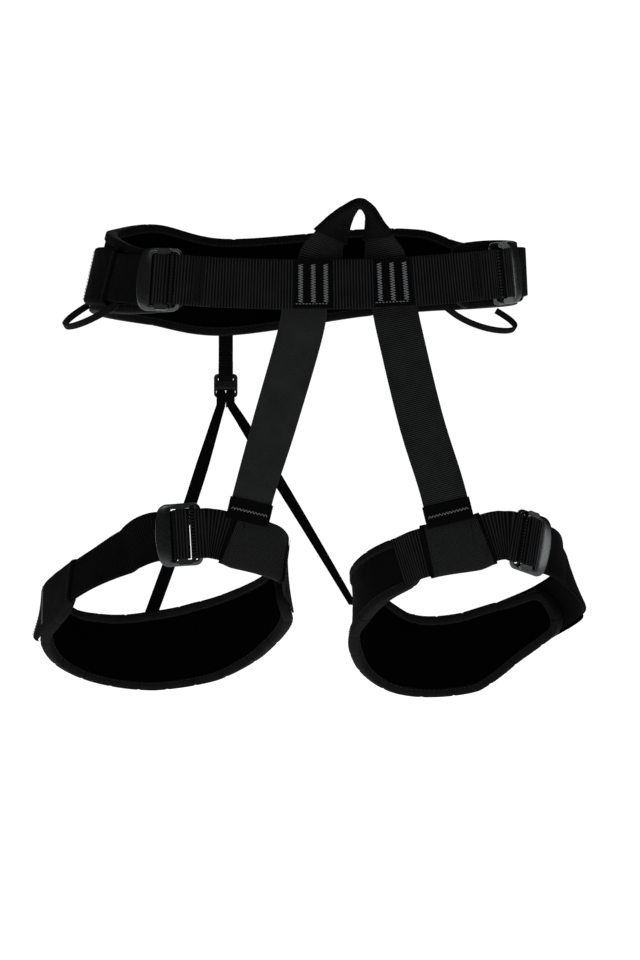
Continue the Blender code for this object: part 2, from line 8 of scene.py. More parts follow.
import bmesh
import bpy
import numpy as np
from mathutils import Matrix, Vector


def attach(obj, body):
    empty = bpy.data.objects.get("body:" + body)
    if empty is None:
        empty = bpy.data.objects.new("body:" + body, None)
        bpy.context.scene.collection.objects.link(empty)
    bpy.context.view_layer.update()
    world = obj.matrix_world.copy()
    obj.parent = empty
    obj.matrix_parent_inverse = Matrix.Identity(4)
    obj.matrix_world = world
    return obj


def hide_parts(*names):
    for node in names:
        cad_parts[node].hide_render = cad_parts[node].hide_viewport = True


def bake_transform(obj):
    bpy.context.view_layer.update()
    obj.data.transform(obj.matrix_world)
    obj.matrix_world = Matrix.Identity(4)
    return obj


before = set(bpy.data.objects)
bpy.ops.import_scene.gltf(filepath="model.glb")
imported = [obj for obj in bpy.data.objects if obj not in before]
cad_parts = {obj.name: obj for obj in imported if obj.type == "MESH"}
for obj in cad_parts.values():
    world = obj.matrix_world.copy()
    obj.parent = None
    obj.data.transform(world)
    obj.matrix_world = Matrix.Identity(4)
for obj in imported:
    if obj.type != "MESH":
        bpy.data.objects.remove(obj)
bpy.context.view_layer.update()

MM = 0.001
TAU = 2.0 * math.pi

# ---------------------------------------------------------------- sizes shared with the part

WEB = 45.0
WEB_T = 1.8
GAP = 0.3
LINING_IN = 0.0
SHELL_OUT = 6.6
STRAP_OFF = 10.3
TAIL_OFF = 12.8
COVER_OUT = 15.2
RIM = 7.0
FRONT_OFF = 15.2
FRAME_OFF = (14.2, 17.4)
FRAME_Q = (-18.5, 19.5)
FRAME_HALF = 28.5
FRAME_BOW = 4.5
WINDOW_Q = (-14.0, 9.0)
WINDOW_HALF = 23.6
SLIDER_OFF = (17.7, 20.2)
SLIDER_BAR_Q = (-5.0, 4.0)
RIB = 2.7             # pitch of the webbing's cross ribs
TAPE_T, COVER_T, PATCH_T = 0.5, 0.7, 0.4
WAIST_CORNER, LEG_CORNER = 12.0, 18.5
BLOCK_ROWS = (-11.2, 0.0, 11.2)
TAB_W, TAB_T, TAB_TURN = 14.0, 1.4, 3.6
ELASTIC_TURN = 3.9
TIE_IN_T = 3.4
GUARD_SPAN = (34, 88)     # of the tie-in loop's 121 stations
RISER_T, BAND_T, BAND_STAND = 2.2, 1.3, 1.9
SLEEVE_W_HALF, SLEEVE_T_HALF, SLEEVE_WALL = 24.6, 3.5, 1.0
LOOP_W, LOOP_T = 6.4, 2.5
CAMERA_AT = (0.012, -2.3, -0.176)     # metres
CAMERA_LENS = 92.3
LIP_Q, LIP_OFF = -10.4, 19.3

# Waist: x, y, z, the pad's rise and drop, lean in degrees
WAIST = [
    (-20, -70, 0, 23, 23, 0), (60, -69, 1, 23, 23, 0), (114, -62, 5, 27, 27, 0),
    (154, -42, 11, 30, 28, 1), (186, -8, 17, 28, 28, 0), (182, 35, 18, 26, 28, 2),
    (146, 74, 18, 34, 28, 0), (112, 84, 17, 48, 28, 0), (50, 90, 14, 52, 30, 0),
    (-79, 92, 12, 45, 46, 0), (-148, 78, 14, 55, 39, 6), (-184, 38, 14, 46, 35, 8),
    (-186, -10, 11, 39, 31, 14), (-157, -48, 6, 29, 30, 11), (-110, -66, 3, 24, 25, 2),
]
PAD_RIGHT_END = 156.0
PAD_LEFT_END = -92.0
BUCKLE_RIGHT = 202.0
BUCKLE_LEFT = -108.0
# Leg loops: x, y, z, lean in degrees
LEG_LEFT = [
    (-50, -57, -237, 4), (-112, -60, -227, 6), (-152, -55, -242, 22), (-184, -42, -260, 32),
    (-216, -16, -281, 27), (-237, 12, -303, 12), (-227, 39, -326, 0), (-196, 56, -339, 0),
    (-152, 62, -341, 0), (-101, 57, -331, 0), (-58, 37, -310, 0), (-29, 0, -284, 8),
    (-33, -36, -257, 6),
]
LEG_RIGHT = [
    (135, -59, -237, 4), (190, -43, -234, 8), (225, -16, -257, 26), (240, 13, -284, 26),
    (222, 40, -302, 10), (186, 56, -319, 0), (142, 61, -339, 0), (94, 54, -342, 0),
    (63, 36, -320, 0), (50, 4, -291, 0), (65, -29, -266, 4), (98, -50, -248, 4),
]
LEG_BUCKLE = 64.0
SLEEVE_HALF = 23.0
# Leg pads: share of the way round, rise, drop
PAD_LEFT = [(0.32, 20, 18), (0.40, 23, 21), (0.50, 32, 29), (0.60, 37, 36),
            (0.69, 37, 38), (0.77, 32, 35), (0.86, 25, 27), (0.935, 23, 24)]
PAD_RIGHT = [(0.32, 20, 20), (0.40, 23, 31), (0.50, 32, 43), (0.60, 37, 38),
             (0.69, 35, 33), (0.77, 27, 29), (0.86, 23, 25), (0.935, 22, 23)]
PAD_ENDS = {"left": 0.90, "right": 0.935}
# Tie-in loop: x, y, z, turn in degrees, width; risers: x, y, z, width
TIE_IN = [(10, -75, -4, 0, 40), (12, -76, 22, 2, 40), (18, -80, 37, 30, 36),
          (28, -84, 54, 57, 32), (38, -86, 66, 78, 30), (48, -86, 72.5, 90, 29),
          (57, -85, 66, 84, 29), (62, -83, 52, 66, 32), (67, -79, 37, 36, 34),
          (71, -75, 22, 3, 38), (73, -73, -4, 0, 38)]
RISERS = {
    "left": [(-2, -76, -8, 41), (-5, -77, -40, 41), (-29, -79, -125, 40), (-46, -78, -182, 37),
             (-52, -77, -206, 37)],
    "right": [(77.5, -73.5, -8, 41), (83.5, -75, -40, 41), (102.5, -78, -120, 41),
              (120.5, -78, -178, 41), (128, -77, -207, 41)],
}
HOOK_CENTRE = (-80.0, 102.5, -84.0)
HOOK_HALF = (11.5, 11.5)
HOOK_WINDOW = (9.4, 7.0)
ELASTIC_W = (8.6, 12.6)       # at the hook, and lower down
ELASTIC_T = 1.3
# Shift from the hook's middle, sewn end, direction across the end, bow
ELASTICS = {
    "left": (-4.6, (-152, 74, -308), (1.0, 0.0, 0.1), (2, 6, 0)),
    "right": (4.6, (43, 33, -294), (0.5, 0.8, 0.0), (1, 6, 0)),
}


# ---------------------------------------------------------------- materials

class Look:
    """A node material that reads the cloth's own coordinates (across, along) in millimetres."""

    def __init__(self, name):
        self.material = bpy.data.materials.new(name)
        self.material.use_nodes = True
        self.tree = self.material.node_tree
        self.shader = self.tree.nodes["Principled BSDF"]
        where = self.add("ShaderNodeUVMap")
        where.uv_map = "Cloth"
        split = self.add("ShaderNodeSeparateXYZ")
        self.tree.links.new(where.outputs[0], split.inputs[0])
        self.u, self.v = split.outputs[0], split.outputs[1]
        self.place = self.add("ShaderNodeTexCoord").outputs["Object"]

    def add(self, kind):
        return self.tree.nodes.new(kind)

    def feed(self, socket, value):
        if isinstance(value, (int, float)):
            socket.default_value = value
        else:
            self.tree.links.new(value, socket)

    def math(self, operation, a, b=0.0, clamp=False):
        node = self.add("ShaderNodeMath")
        node.operation = operation
        node.use_clamp = clamp
        self.feed(node.inputs[0], a)
        self.feed(node.inputs[1], b)
        return node.outputs[0]

    def wave(self, x, period, phase=0.0):
        """0 to 1 and back once each period."""
        turned = self.math("ADD", self.math("MULTIPLY", x, TAU / period), phase)
        return self.math("ADD", self.math("MULTIPLY", self.math("SINE", turned), 0.5), 0.5)

    def crossing(self, pitch):
        """Staggered bumps where threads cross."""
        over = self.math("MULTIPLY", self.wave(self.u, pitch), self.wave(self.v, pitch))
        under = self.math("MULTIPLY", self.wave(self.u, pitch, math.pi),
                          self.wave(self.v, pitch, math.pi))
        return self.math("ADD", over, under)

    def noise(self, scale, detail=3.0, stretch=None):
        node = self.add("ShaderNodeTexNoise")
        node.inputs["Scale"].default_value = scale
        node.inputs["Detail"].default_value = detail
        source = self.place
        if stretch:
            scaled = self.add("ShaderNodeMapping")
            scaled.inputs["Scale"].default_value = stretch
            self.tree.links.new(self.place, scaled.inputs["Vector"])
            source = scaled.outputs[0]
        self.tree.links.new(source, node.inputs["Vector"])
        return node.outputs[0]

    def blend(self, factor, low, high):
        node = self.add("ShaderNodeMix")
        node.data_type = "RGBA"
        self.feed(node.inputs[0], factor)
        for socket, colour in ((node.inputs[6], low), (node.inputs[7], high)):
            if isinstance(colour, tuple):
                socket.default_value = (*colour, 1.0)
            else:
                self.tree.links.new(colour, socket)
        return node.outputs[2]

    def sum(self, *parts):
        """Weighted sum of (value, weight) pairs."""
        total = None
        for value, weight in parts:
            part = self.math("MULTIPLY", value, weight)
            total = part if total is None else self.math("ADD", total, part)
        return total

    def finish(self, colour, height, depth, roughness, rough_span=0.0, rough_by=None,
               specular=0.2, sheen=0.0, metallic=0.0):
        """Wire colour, bump and roughness, and set the constants on the shader."""
        self.tree.links.new(colour, self.shader.inputs["Base Color"])
        bump = self.add("ShaderNodeBump")
        bump.inputs["Strength"].default_value = 1.0
        bump.inputs["Distance"].default_value = depth * MM
        self.tree.links.new(height, bump.inputs["Height"])
        self.tree.links.new(bump.outputs[0], self.shader.inputs["Normal"])
        if rough_by is None:
            self.shader.inputs["Roughness"].default_value = roughness
        else:
            spread = self.math("ADD", self.math("MULTIPLY", rough_by, rough_span), roughness)
            self.tree.links.new(spread, self.shader.inputs["Roughness"])
        self.shader.inputs["Specular IOR Level"].default_value = specular
        self.shader.inputs["Sheen Weight"].default_value = sheen
        self.shader.inputs["Sheen Roughness"].default_value = 0.4
        self.shader.inputs["Metallic"].default_value = metallic
        return self.material


def grey(value, tint=0.03):
    """A near-neutral colour, very slightly cool."""
    return (value * (1 - tint), value, value * (1 + tint))


def ribbed(name, dark, light, pitch, warp, depth=0.22, sheen=0.03):
    """Webbing: round cross ribs made of fine warp threads."""
    look = Look(name)
    rib = look.wave(look.v, pitch)
    thread = look.wave(look.u, warp)
    grain = look.noise(2600.0)
    patch = look.noise(60.0, 2.0)
    lift = look.sum((rib, 0.62), (thread, 0.22), (grain, 0.30))
    # painted light: the colour is lighter on the rib crests and darker in the grooves, a painted
    # highlight on the crests and painted shade in the grooves; grain and patches add random tone
    crest_highlight = look.math("POWER", rib, 2.6)
    level = look.sum((crest_highlight, 0.90), (thread, 0.14), (grain, 0.34), (patch, 0.34))
    colour = look.blend(look.math("SUBTRACT", level, 0.36, True), grey(dark), grey(light))
    return look.finish(colour, lift, depth, 0.72, 0.2, grain, 0.05, sheen)


def plain_weave(name, dark, light, pitch, depth=0.14, salt=0.5, sheen=0.03, base=0.2):
    """Flat woven cloth: over-and-under crossings with uneven threads."""
    look = Look(name)
    cross = look.crossing(pitch)
    grain = look.noise(1900.0, 4.0)
    patch = look.noise(45.0, 2.0)
    level = look.sum((cross, 0.5), (grain, salt), (patch, 0.35))
    colour = look.blend(look.math("SUBTRACT", level, base, True), grey(dark), grey(light))
    lift = look.sum((cross, 0.7), (grain, 0.3))
    return look.finish(colour, lift, depth, 0.78, 0.15, grain, 0.05, sheen)


def dotted(name, dark, light, pitch, depth=0.4, sharp=3.0, sheen=0.05):
    """Coarse protective sleeve: staggered raised floats."""
    look = Look(name)
    dots = look.math("POWER", look.crossing(pitch), sharp)
    grain = look.noise(1500.0, 3.0)
    lit = look.math("MULTIPLY", dots, look.sum((grain, 1.5)), True)
    colour = look.blend(lit, grey(dark), grey(light))
    lift = look.sum((dots, 0.8), (grain, 0.25))
    return look.finish(colour, lift, depth, 0.7, 0.2, grain, 0.06, sheen)


def perforated(name, dark, light, pitch):
    """Pad lining: soft knitted mesh with small staggered holes."""
    look = Look(name)
    holes = look.math("POWER", look.crossing(pitch), 4.0)
    solid = look.math("SUBTRACT", 1.0, holes)
    grain = look.noise(1200.0, 3.0)
    level = look.sum((solid, 0.6), (grain, 0.4))
    colour = look.blend(level, grey(dark), grey(light))
    lift = look.sum((solid, 0.8), (grain, 0.2))
    return look.finish(colour, lift, 0.35, 0.9, 0.0, None, 0.01, 0.002)


def tape(name, dark, light):
    """Edge tape: fine ribs across it and an uneven face."""
    look = Look(name)
    rib = look.wave(look.v, 1.25)
    edge = look.wave(look.u, 1.6)
    grain = look.noise(1300.0, 3.0)
    patch = look.noise(90.0, 3.0)
    level = look.sum((rib, 0.25), (edge, 0.12), (grain, 0.35), (patch, 0.55))
    colour = look.blend(look.math("SUBTRACT", level, 0.2, True), grey(dark), grey(light))
    lift = look.sum((rib, 0.5), (grain, 0.5))
    return look.finish(colour, lift, 0.12, 0.66, 0.2, grain, 0.05, 0.012)


def yarn(name, dark, light):
    """Sewing thread: slanting twist."""
    look = Look(name)
    twist = look.wave(look.math("ADD", look.u, look.v), 0.55)
    grain = look.noise(1500.0, 2.0)
    colour = look.blend(look.sum((twist, 0.5), (grain, 0.6)), grey(dark), grey(light))
    return look.finish(colour, twist, 0.06, 0.6, 0.1, grain, 0.1, 0.05)


def metal(name, dark, light):
    """Dark anodised alloy: fine brushed grain, soft tumbling marks, paler worn edges."""
    look = Look(name)
    brushed = look.noise(240.0, 5.0, (1.0, 1.0, 9.0))
    marks = look.noise(900.0, 2.0)
    geometry = look.add("ShaderNodeNewGeometry")
    edge = look.math("SUBTRACT", geometry.outputs["Pointiness"], 0.53)
    worn = look.math("MULTIPLY", edge, 9.0, True)
    level = look.math("ADD", look.sum((brushed, 0.55), (marks, 0.25)), worn, True)
    colour = look.blend(level, grey(dark), grey(light))
    height = look.sum((brushed, 0.6), (marks, 0.4))
    return look.finish(colour, height, 0.03, 0.17, 0.14, brushed, 0.5, 0.0, 1.0)


def moulded(name, dark, light):
    """Moulded plastic with a fine spark-eroded grain."""
    look = Look(name)
    grain = look.noise(2200.0, 2.0)
    patch = look.noise(120.0, 2.0)
    colour = look.blend(look.sum((grain, 0.5), (patch, 0.5)), grey(dark), grey(light))
    return look.finish(colour, grain, 0.05, 0.42, 0.15, grain, 0.22)


LOOKS = {
    "webbing": ribbed("webbing_ribbed", 0.0001, 0.0180, RIB, 1.15, 0.32, 0.008),
    "strap": ribbed("strap_ribbed", 0.0002, 0.0050, 2.1, 1.0, 0.22, 0.004),
    "tie_in": ribbed("tie_in_ribbed", 0.0005, 0.0220, 1.8, 1.1, 0.22, 0.008),
    "riser": plain_weave("riser_woven", 0.0010, 0.0300, 1.0, 0.12, 1.0, 0.01, 0.45),
    "riser_ribbed": ribbed("riser_ribbed", 0.0015, 0.0270, 1.75, 0.9, 0.16, 0.008),
    "sleeve": dotted("sleeve_woven", 0.0012, 0.0300, 2.2, 0.32, 1.3, 0.01),
    "guard": dotted("guard_woven", 0.0002, 0.0160, 2.6, 0.5, 6.0, 0.003),
    "shell": plain_weave("shell_cloth", 0.0005, 0.0030, 0.7, 0.08, 0.5, 0.004),
    "cover": plain_weave("cover_cloth", 0.0004, 0.0020, 0.8, 0.08, 0.5, 0.003),
    "panel": plain_weave("panel_cloth", 0.0005, 0.0070, 0.9, 0.1, 1.0, 0.006, 0.45),
    "lining": perforated("lining_mesh", 0.0001, 0.0005, 1.9),
    # painted shade: binding and binding_dark are lit and shaded copies of one edge tape; the belt
    # pad's rim takes the darker copy
    "binding": tape("binding_tape", 0.0004, 0.0110),
    "binding_dark": tape("binding_dark", 0.0004, 0.0060),
    "band": plain_weave("band_cloth", 0.0003, 0.0012, 0.8, 0.08, 0.4, 0.002),
    "block": ribbed("block_sewn", 0.0003, 0.0016, RIB, 1.2, 0.16, 0.003),
    "thread": yarn("thread_pale", 0.070, 0.200),
    "thread_grey": yarn("thread_grey", 0.010, 0.028),
    "thread_dark": yarn("thread_dark", 0.0005, 0.0022),
    "elastic": ribbed("elastic_woven", 0.0003, 0.0024, 1.5, 1.2, 0.2, 0.003),
    "loop": plain_weave("loop_cord", 0.0004, 0.0080, 1.1, 0.12, 0.6, 0.006),
    "alloy": metal("alloy_anodised", 0.022, 0.105),
    # painted shade: a darker copy of the anodised alloy, for the knurled lip that is part of the
    # slider
    "alloy_dark": metal("alloy_knurled_shaded", 0.003, 0.016),
    "plastic": moulded("plastic_moulded", 0.0010, 0.0040),
}


# ---------------------------------------------------------------- mesh making

def put(name, verts, faces, uvs, looks, marks=None, smooth=True):
    """A mesh object from millimetre points, with (across, along) kept as its Cloth map."""
    mesh = bpy.data.meshes.new(name)
    mesh.from_pydata((np.asarray(verts) * MM).tolist(), [], faces)
    chosen = [looks] if isinstance(looks, str) else looks
    for key in chosen:
        mesh.materials.append(LOOKS[key])
    layer = mesh.uv_layers.new(name="Cloth")
    corners = np.zeros(len(mesh.loops), int)
    mesh.loops.foreach_get("vertex_index", corners)
    layer.data.foreach_set("uv", np.asarray(uvs, np.float32)[corners].ravel())
    mesh.polygons.foreach_set("use_smooth", [smooth] * len(mesh.polygons))
    if marks is not None:
        mesh.polygons.foreach_set("material_index", marks)
    work = bmesh.new()
    work.from_mesh(mesh)
    bmesh.ops.recalc_face_normals(work, faces=work.faces)
    work.to_mesh(mesh)
    work.free()
    made = bpy.data.objects.new(name, mesh)
    bpy.context.scene.collection.objects.link(made)
    return made


def grid(rows, wrap_across=True, wrap_along=False, caps=True):
    """Faces over a rows x columns grid of points."""
    count, size = rows.shape[0], rows.shape[1]
    faces = []
    for i in range(count if wrap_along else count - 1):
        a, b = i * size, ((i + 1) % count) * size
        for k in range(size if wrap_across else size - 1):
            m = (k + 1) % size
            faces.append((a + k, a + m, b + m, b + k))
    if caps and wrap_across and not wrap_along:
        faces.append(tuple(range(size)))
        faces.append(tuple(range((count - 1) * size, count * size)))
    return faces


def skin(name, rows, uvs, look, *joined):
    """A mesh over rows of points, joined as grid() joins them."""
    rows = np.asarray(rows)
    return put(name, rows.reshape(-1, 3), grid(rows, *joined), np.asarray(uvs).reshape(-1, 2), look)


def thicken(made, label, thickness):
    """Give a single-layer cloth its thickness, inward from its face."""
    thick = made.modifiers.new(label, "SOLIDIFY")
    thick.thickness = thickness * MM
    thick.offset = -1.0


def clamp(x):
    return min(max(x, 0.0), 1.0)


def place_on(made, body, *nodes):
    """Ride on a body and stand for CAD nodes."""
    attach(made, body)
    if nodes:
        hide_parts(*nodes)
    return made


# ---------------------------------------------------------------- centre lines

def smooth_line(points, closed, fine=24):
    """Fine Catmull-Rom samples through the given points, all their columns."""
    p = np.asarray(points, float)
    n = len(p)
    rows = []
    for i in range(n if closed else n - 1):
        if closed:
            a, b, c, d = (p[(i + k) % n] for k in (-1, 0, 1, 2))
        else:
            b, c = p[i], p[i + 1]
            a = p[i - 1] if i else 2 * b - c
            d = p[i + 2] if i + 2 < n else 2 * c - b
        t = (np.arange(fine) / fine)[:, None]
        rows.append(0.5 * (2 * b + (c - a) * t + (2 * a - 5 * b + 4 * c - d) * t * t
                           + (3 * b - a - 3 * c + d) * t ** 3))
    rows.append(p[:1] if closed else p[-1:])
    return np.vstack(rows)


class Line:
    """A centre line that gives point, direction, width and outward normal at a distance."""

    def __init__(self, points, closed=True, axis=(0, 0, 1), facing=None, leans=False):
        self.rows = smooth_line(points, closed)
        steps = np.linalg.norm(np.diff(self.rows[:, :3], axis=0), axis=1)
        self.s = np.concatenate([[0.0], np.cumsum(steps)])
        self.length = self.s[-1]
        self.closed = closed
        self.axis = np.asarray(axis, float)
        self.facing = None if facing is None else np.asarray(facing, float)
        self.middle = self.rows[:-1, :3].mean(axis=0)
        self.leans = leans
        self.kept = {}

    def row(self, s):
        s = s % self.length if self.closed else min(max(s, 0.0), self.length)
        return np.array([np.interp(s, self.s, col) for col in self.rows.T])

    def frame(self, s):
        key = round(float(s), 4)
        if key in self.kept:
            return self.kept[key]
        here = self.row(s)
        step = 2.5
        along = self.row(s + step)[:3] - self.row(s - step)[:3]
        along /= np.linalg.norm(along)
        wide = self.axis - along * self.axis.dot(along)
        wide /= np.linalg.norm(wide)
        out = np.cross(along, wide)
        guide = here[:3] - self.middle if self.facing is None else self.facing
        if out.dot(guide) < 0:
            out = -out
        lean = math.radians(here[-1]) if self.leans else 0.0
        found = (here[:3], along, wide * math.cos(lean) - out * math.sin(lean),
                 out * math.cos(lean) + wide * math.sin(lean))
        self.kept[key] = found
        return found

    def place(self, s, up, off):
        here, _, wide, out = self.frame(s)
        return here + wide * up + out * off


class Seat:
    """The flat plane a buckle lies in; q points to its rounded end."""

    def __init__(self, line, s, way):
        here, along, wide, out = line.frame(s)
        self.here, self.q, self.wide, self.out = here, along * way, wide, out
        self.line, self.s, self.way = line, s, way

    def at(self, q, up, off):
        return self.here + self.q * q + self.wide * up + self.out * off

    def spot(self, q, up, off):
        """Point near the buckle: flat close to it, on the ring further away."""
        _, _, wide, _ = self.line.frame(self.s + self.way * q)
        flat = self.at(q, 0.0, off)
        bent = self.line.place(self.s + self.way * q, 0.0, off)
        mix = clamp((abs(q) - 24.0) / 26.0)
        mixed = self.wide * (1 - mix) + wide * mix
        mixed = mixed / np.linalg.norm(mixed)
        return flat * (1 - mix) + bent * mix + mixed * up, mixed

    def path(self, pairs):
        found = [self.spot(q, 0.0, off) for q, off in pairs]
        return [f[0] for f in found], [f[1] for f in found]


WAIST_LINE = Line(WAIST, leans=True)
LEG_LINES = {"left": Line(LEG_LEFT, leans=True), "right": Line(LEG_RIGHT, leans=True)}
PAD_TABLES = {"left": np.array(PAD_LEFT), "right": np.array(PAD_RIGHT)}
SEATS = {
    "waist_left": Seat(WAIST_LINE, BUCKLE_LEFT, -1),
    "waist_right": Seat(WAIST_LINE, BUCKLE_RIGHT, 1),
    "leg_left": Seat(LEG_LINES["left"], LEG_BUCKLE, 1),
    "leg_right": Seat(LEG_LINES["right"], LEG_BUCKLE, 1),
}
HOLDERS = {"waist_left": "belt", "waist_right": "belt", "leg_left": "leg_left",
           "leg_right": "leg_right"}


# ---------------------------------------------------------------- webbing

def even(data, step):
    """Resample rows at even steps along their first three columns."""
    steps = np.linalg.norm(np.diff(data[:, :3], axis=0), axis=1)
    walked = np.concatenate([[0.0], np.cumsum(steps)])
    count = max(int(round(walked[-1] / step)), 3)
    at = np.linspace(0.0, walked[-1], count + 1)
    return np.stack([np.interp(at, walked, col) for col in data.T], 1), at


def unit(rows):
    return rows / np.linalg.norm(rows, axis=-1, keepdims=True)


def strap_profile(faces=9):
    """(share of the flat half width, rounding cosine, side) round a strap's section."""
    flat = np.linspace(-1.0, 1.0, faces)
    top = [(a, 0.0, 1.0) for a in flat]
    right = [(1.0, math.cos(a), math.sin(a)) for a in (0.9, 0.0, -0.9)]
    bottom = [(a, 0.0, -1.0) for a in flat[::-1]]
    left = [(-1.0, -math.cos(a), math.sin(a)) for a in (-0.9, 0.0, 0.9)]
    return np.array(top + right + bottom + left)


def webbing(name, points, wides, width, thick, look, rib=RIB, swell=0.13, step=None, faces=9,
            ripple=None):
    """Woven strap: rounded selvedges and real cross ribs on both faces."""
    widths = np.full(len(points), width) if np.isscalar(width) else np.asarray(width, float)
    data = np.hstack([np.asarray(points, float), np.asarray(wides, float), widths[:, None]])
    rows, at = even(smooth_line(data, False, 8), step or rib / 4)
    along = unit(np.gradient(rows[:, :3], axis=0))
    wide = rows[:, 3:6]
    wide = unit(wide - along * (wide * along).sum(1, keepdims=True))
    normal = np.cross(along, wide)
    profile = strap_profile(faces)
    half, rim = rows[:, 6] / 2, thick / 2
    across = profile[:, 0] * (half[:, None] - rim) + profile[:, 1] * rim
    flat = (np.abs(profile[:, 1]) < 1e-9) * (1 - 0.5 * np.abs(profile[:, 0]) ** 6)
    beat = np.sin(at * TAU / rib)[:, None] * swell
    depth = profile[:, 2] * rim + np.sign(profile[:, 2]) * flat * beat
    if ripple is not None:
        depth = depth + ripple(at[:, None], across)
    verts = (rows[:, None, :3] + wide[:, None] * across[..., None]
             + normal[:, None] * depth[..., None])
    uvs = np.stack([across, np.broadcast_to(at[:, None], across.shape)], -1)
    return skin(name, verts, uvs, look)


def arc(q, off, radius, start, stop, steps=9):
    angles = np.radians(np.linspace(start, stop, steps))
    return [(q + radius * math.cos(a), off + radius * math.sin(a)) for a in angles]


def fixed_loop(reach, onwards):
    """Sewn loop round the frame's straight bar, from its short end to q = -onwards."""
    bar_q = WINDOW_Q[0] - 0.4
    mid = sum(FRAME_OFF) / 2
    radius = (FRAME_OFF[1] - FRAME_OFF[0]) / 2 + GAP + WEB_T / 2
    under, over = FRONT_OFF - 2.8, FRONT_OFF
    shared = list(np.arange(28.0, reach + 0.1, 4.0))
    short = [(-q, under) for q in shared[::-1]] + [(-23.0, mid - radius)]
    turn = arc(bar_q, mid, radius, 270, 450)
    slope = [(bar_q - 5.5, mid + radius), (-24.0, mid + radius - 1.2)]
    rest = [(-q, over) for q in shared + list(np.arange(shared[-1] + 4.0, onwards + 0.1, 4.0))]
    return short + turn + slope + rest


def adjustable(key, sewn, tail):
    """Load layer, turn round the slider bar and tail as one strap."""
    seat = SEATS[key]
    mid = sum(SLIDER_OFF) / 2
    radius = (SLIDER_OFF[1] - SLIDER_OFF[0]) / 2 + GAP + WEB_T / 2
    far = [(q, STRAP_OFF) for q in np.arange(18.0, sewn + 0.1, 4.0)[::-1]]
    rise = [(12.5, 10.35), (8.4, 11.6), (5.2, 14.0), (2.4, 16.0), (0.0, mid - radius)]
    turn = arc(SLIDER_BAR_Q[0] + 0.6, mid, radius, 270, 90)
    drop = [(0.0, mid + radius), (3.0, mid + radius), (5.2, 20.5), (6.5, 18.6), (7.1, 16.4),
            (7.8, 14.6), (9.4, 13.2), (13.0, TAIL_OFF)]
    end = [(q, TAIL_OFF) for q in np.arange(17.0, tail + 0.1, 4.0)]
    points, wides = seat.path(far + rise + turn + drop + end)
    made = webbing(key + "_strap_cloth", points, wides, WEB - 0.2, WEB_T, ["strap", "webbing"], 2.1,
                   0.11)
    for face in made.data.polygons:
        place = np.array(face.center) / MM - seat.here
        if place.dot(seat.q) < 6.2 and place.dot(seat.out) > 15.0:
            face.material_index = 1
    seat.at(11.0, 0, 12.0) * MM
    seat.at(4.5, 0, 12.0) * MM
    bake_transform(made)
    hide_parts(key + "_strap", key + "_bight")
    return made


# ---------------------------------------------------------------- stitches

class Stitches:
    """Many short thread segments kept as one piece."""

    def __init__(self, radius=0.32, sides=6):
        self.radius, self.sides = radius, sides
        self.verts, self.faces, self.uvs = [], [], []

    def add(self, start, stop, normal, lift=0.25):
        """One stitch that rises out of the cloth at one end and sinks at the other."""
        start, stop, normal = (np.asarray(v, float) for v in (start, stop, normal))
        along = stop - start
        length = np.linalg.norm(along)
        along = along / length
        side = unit(np.cross(along, normal))
        up = np.cross(side, along)
        base = len(self.verts)
        stations = ((0.0, -0.2, 0.7), (0.18, 1.0, 1.0), (0.5, 1.25, 1.05), (0.82, 1.0, 1.0),
                    (1.0, -0.2, 0.7))
        for share, height, size in stations:
            centre = start + along * length * share + up * lift * height
            for k in range(self.sides):
                a = TAU * k / self.sides
                spoke = side * math.cos(a) + up * math.sin(a)
                self.verts.append(centre + spoke * self.radius * size)
                self.uvs.append((k * 0.3, length * share))
        n = self.sides
        for i in range(len(stations) - 1):
            a, b = base + i * n, base + (i + 1) * n
            for k in range(n):
                m = (k + 1) % n
                self.faces.append((a + k, a + m, b + m, b + k))
        self.faces.append(tuple(range(base, base + n)))
        last = base + (len(stations) - 1) * n
        self.faces.append(tuple(range(last, last + n)))

    def zigzag(self, at, length, pitch, width):
        """A zigzag row; at(along, across) gives a point and the surface normal."""
        count = max(int(round(length / pitch)) * 2, 2)
        for k in range(count):
            a, n = at(length * k / count, width / 2 * (-1) ** k)
            b, _ = at(length * (k + 1) / count, width / 2 * (-1) ** (k + 1))
            self.add(a, b, n)

    def running(self, at, length, pitch=3.2, share=0.68):
        """A straight row of separate stitches; at(along) gives a point and the normal."""
        for k in range(int(length / pitch)):
            a, n = at(k * pitch)
            b, _ = at(k * pitch + pitch * share)
            self.add(a, b, n)

    def done(self, name, body, look):
        made = put(name, self.verts, self.faces, self.uvs, look)
        return place_on(made, body)


# ---------------------------------------------------------------- pads

def hash_wave(x, seed):
    """A smooth uneven wave from -1 to 1 made of fixed sines."""
    return (np.sin(x * 0.61 + seed) + np.sin(x * 1.37 + seed * 2.3)
            + np.sin(x * 2.91 + seed * 0.7)) / 3.0


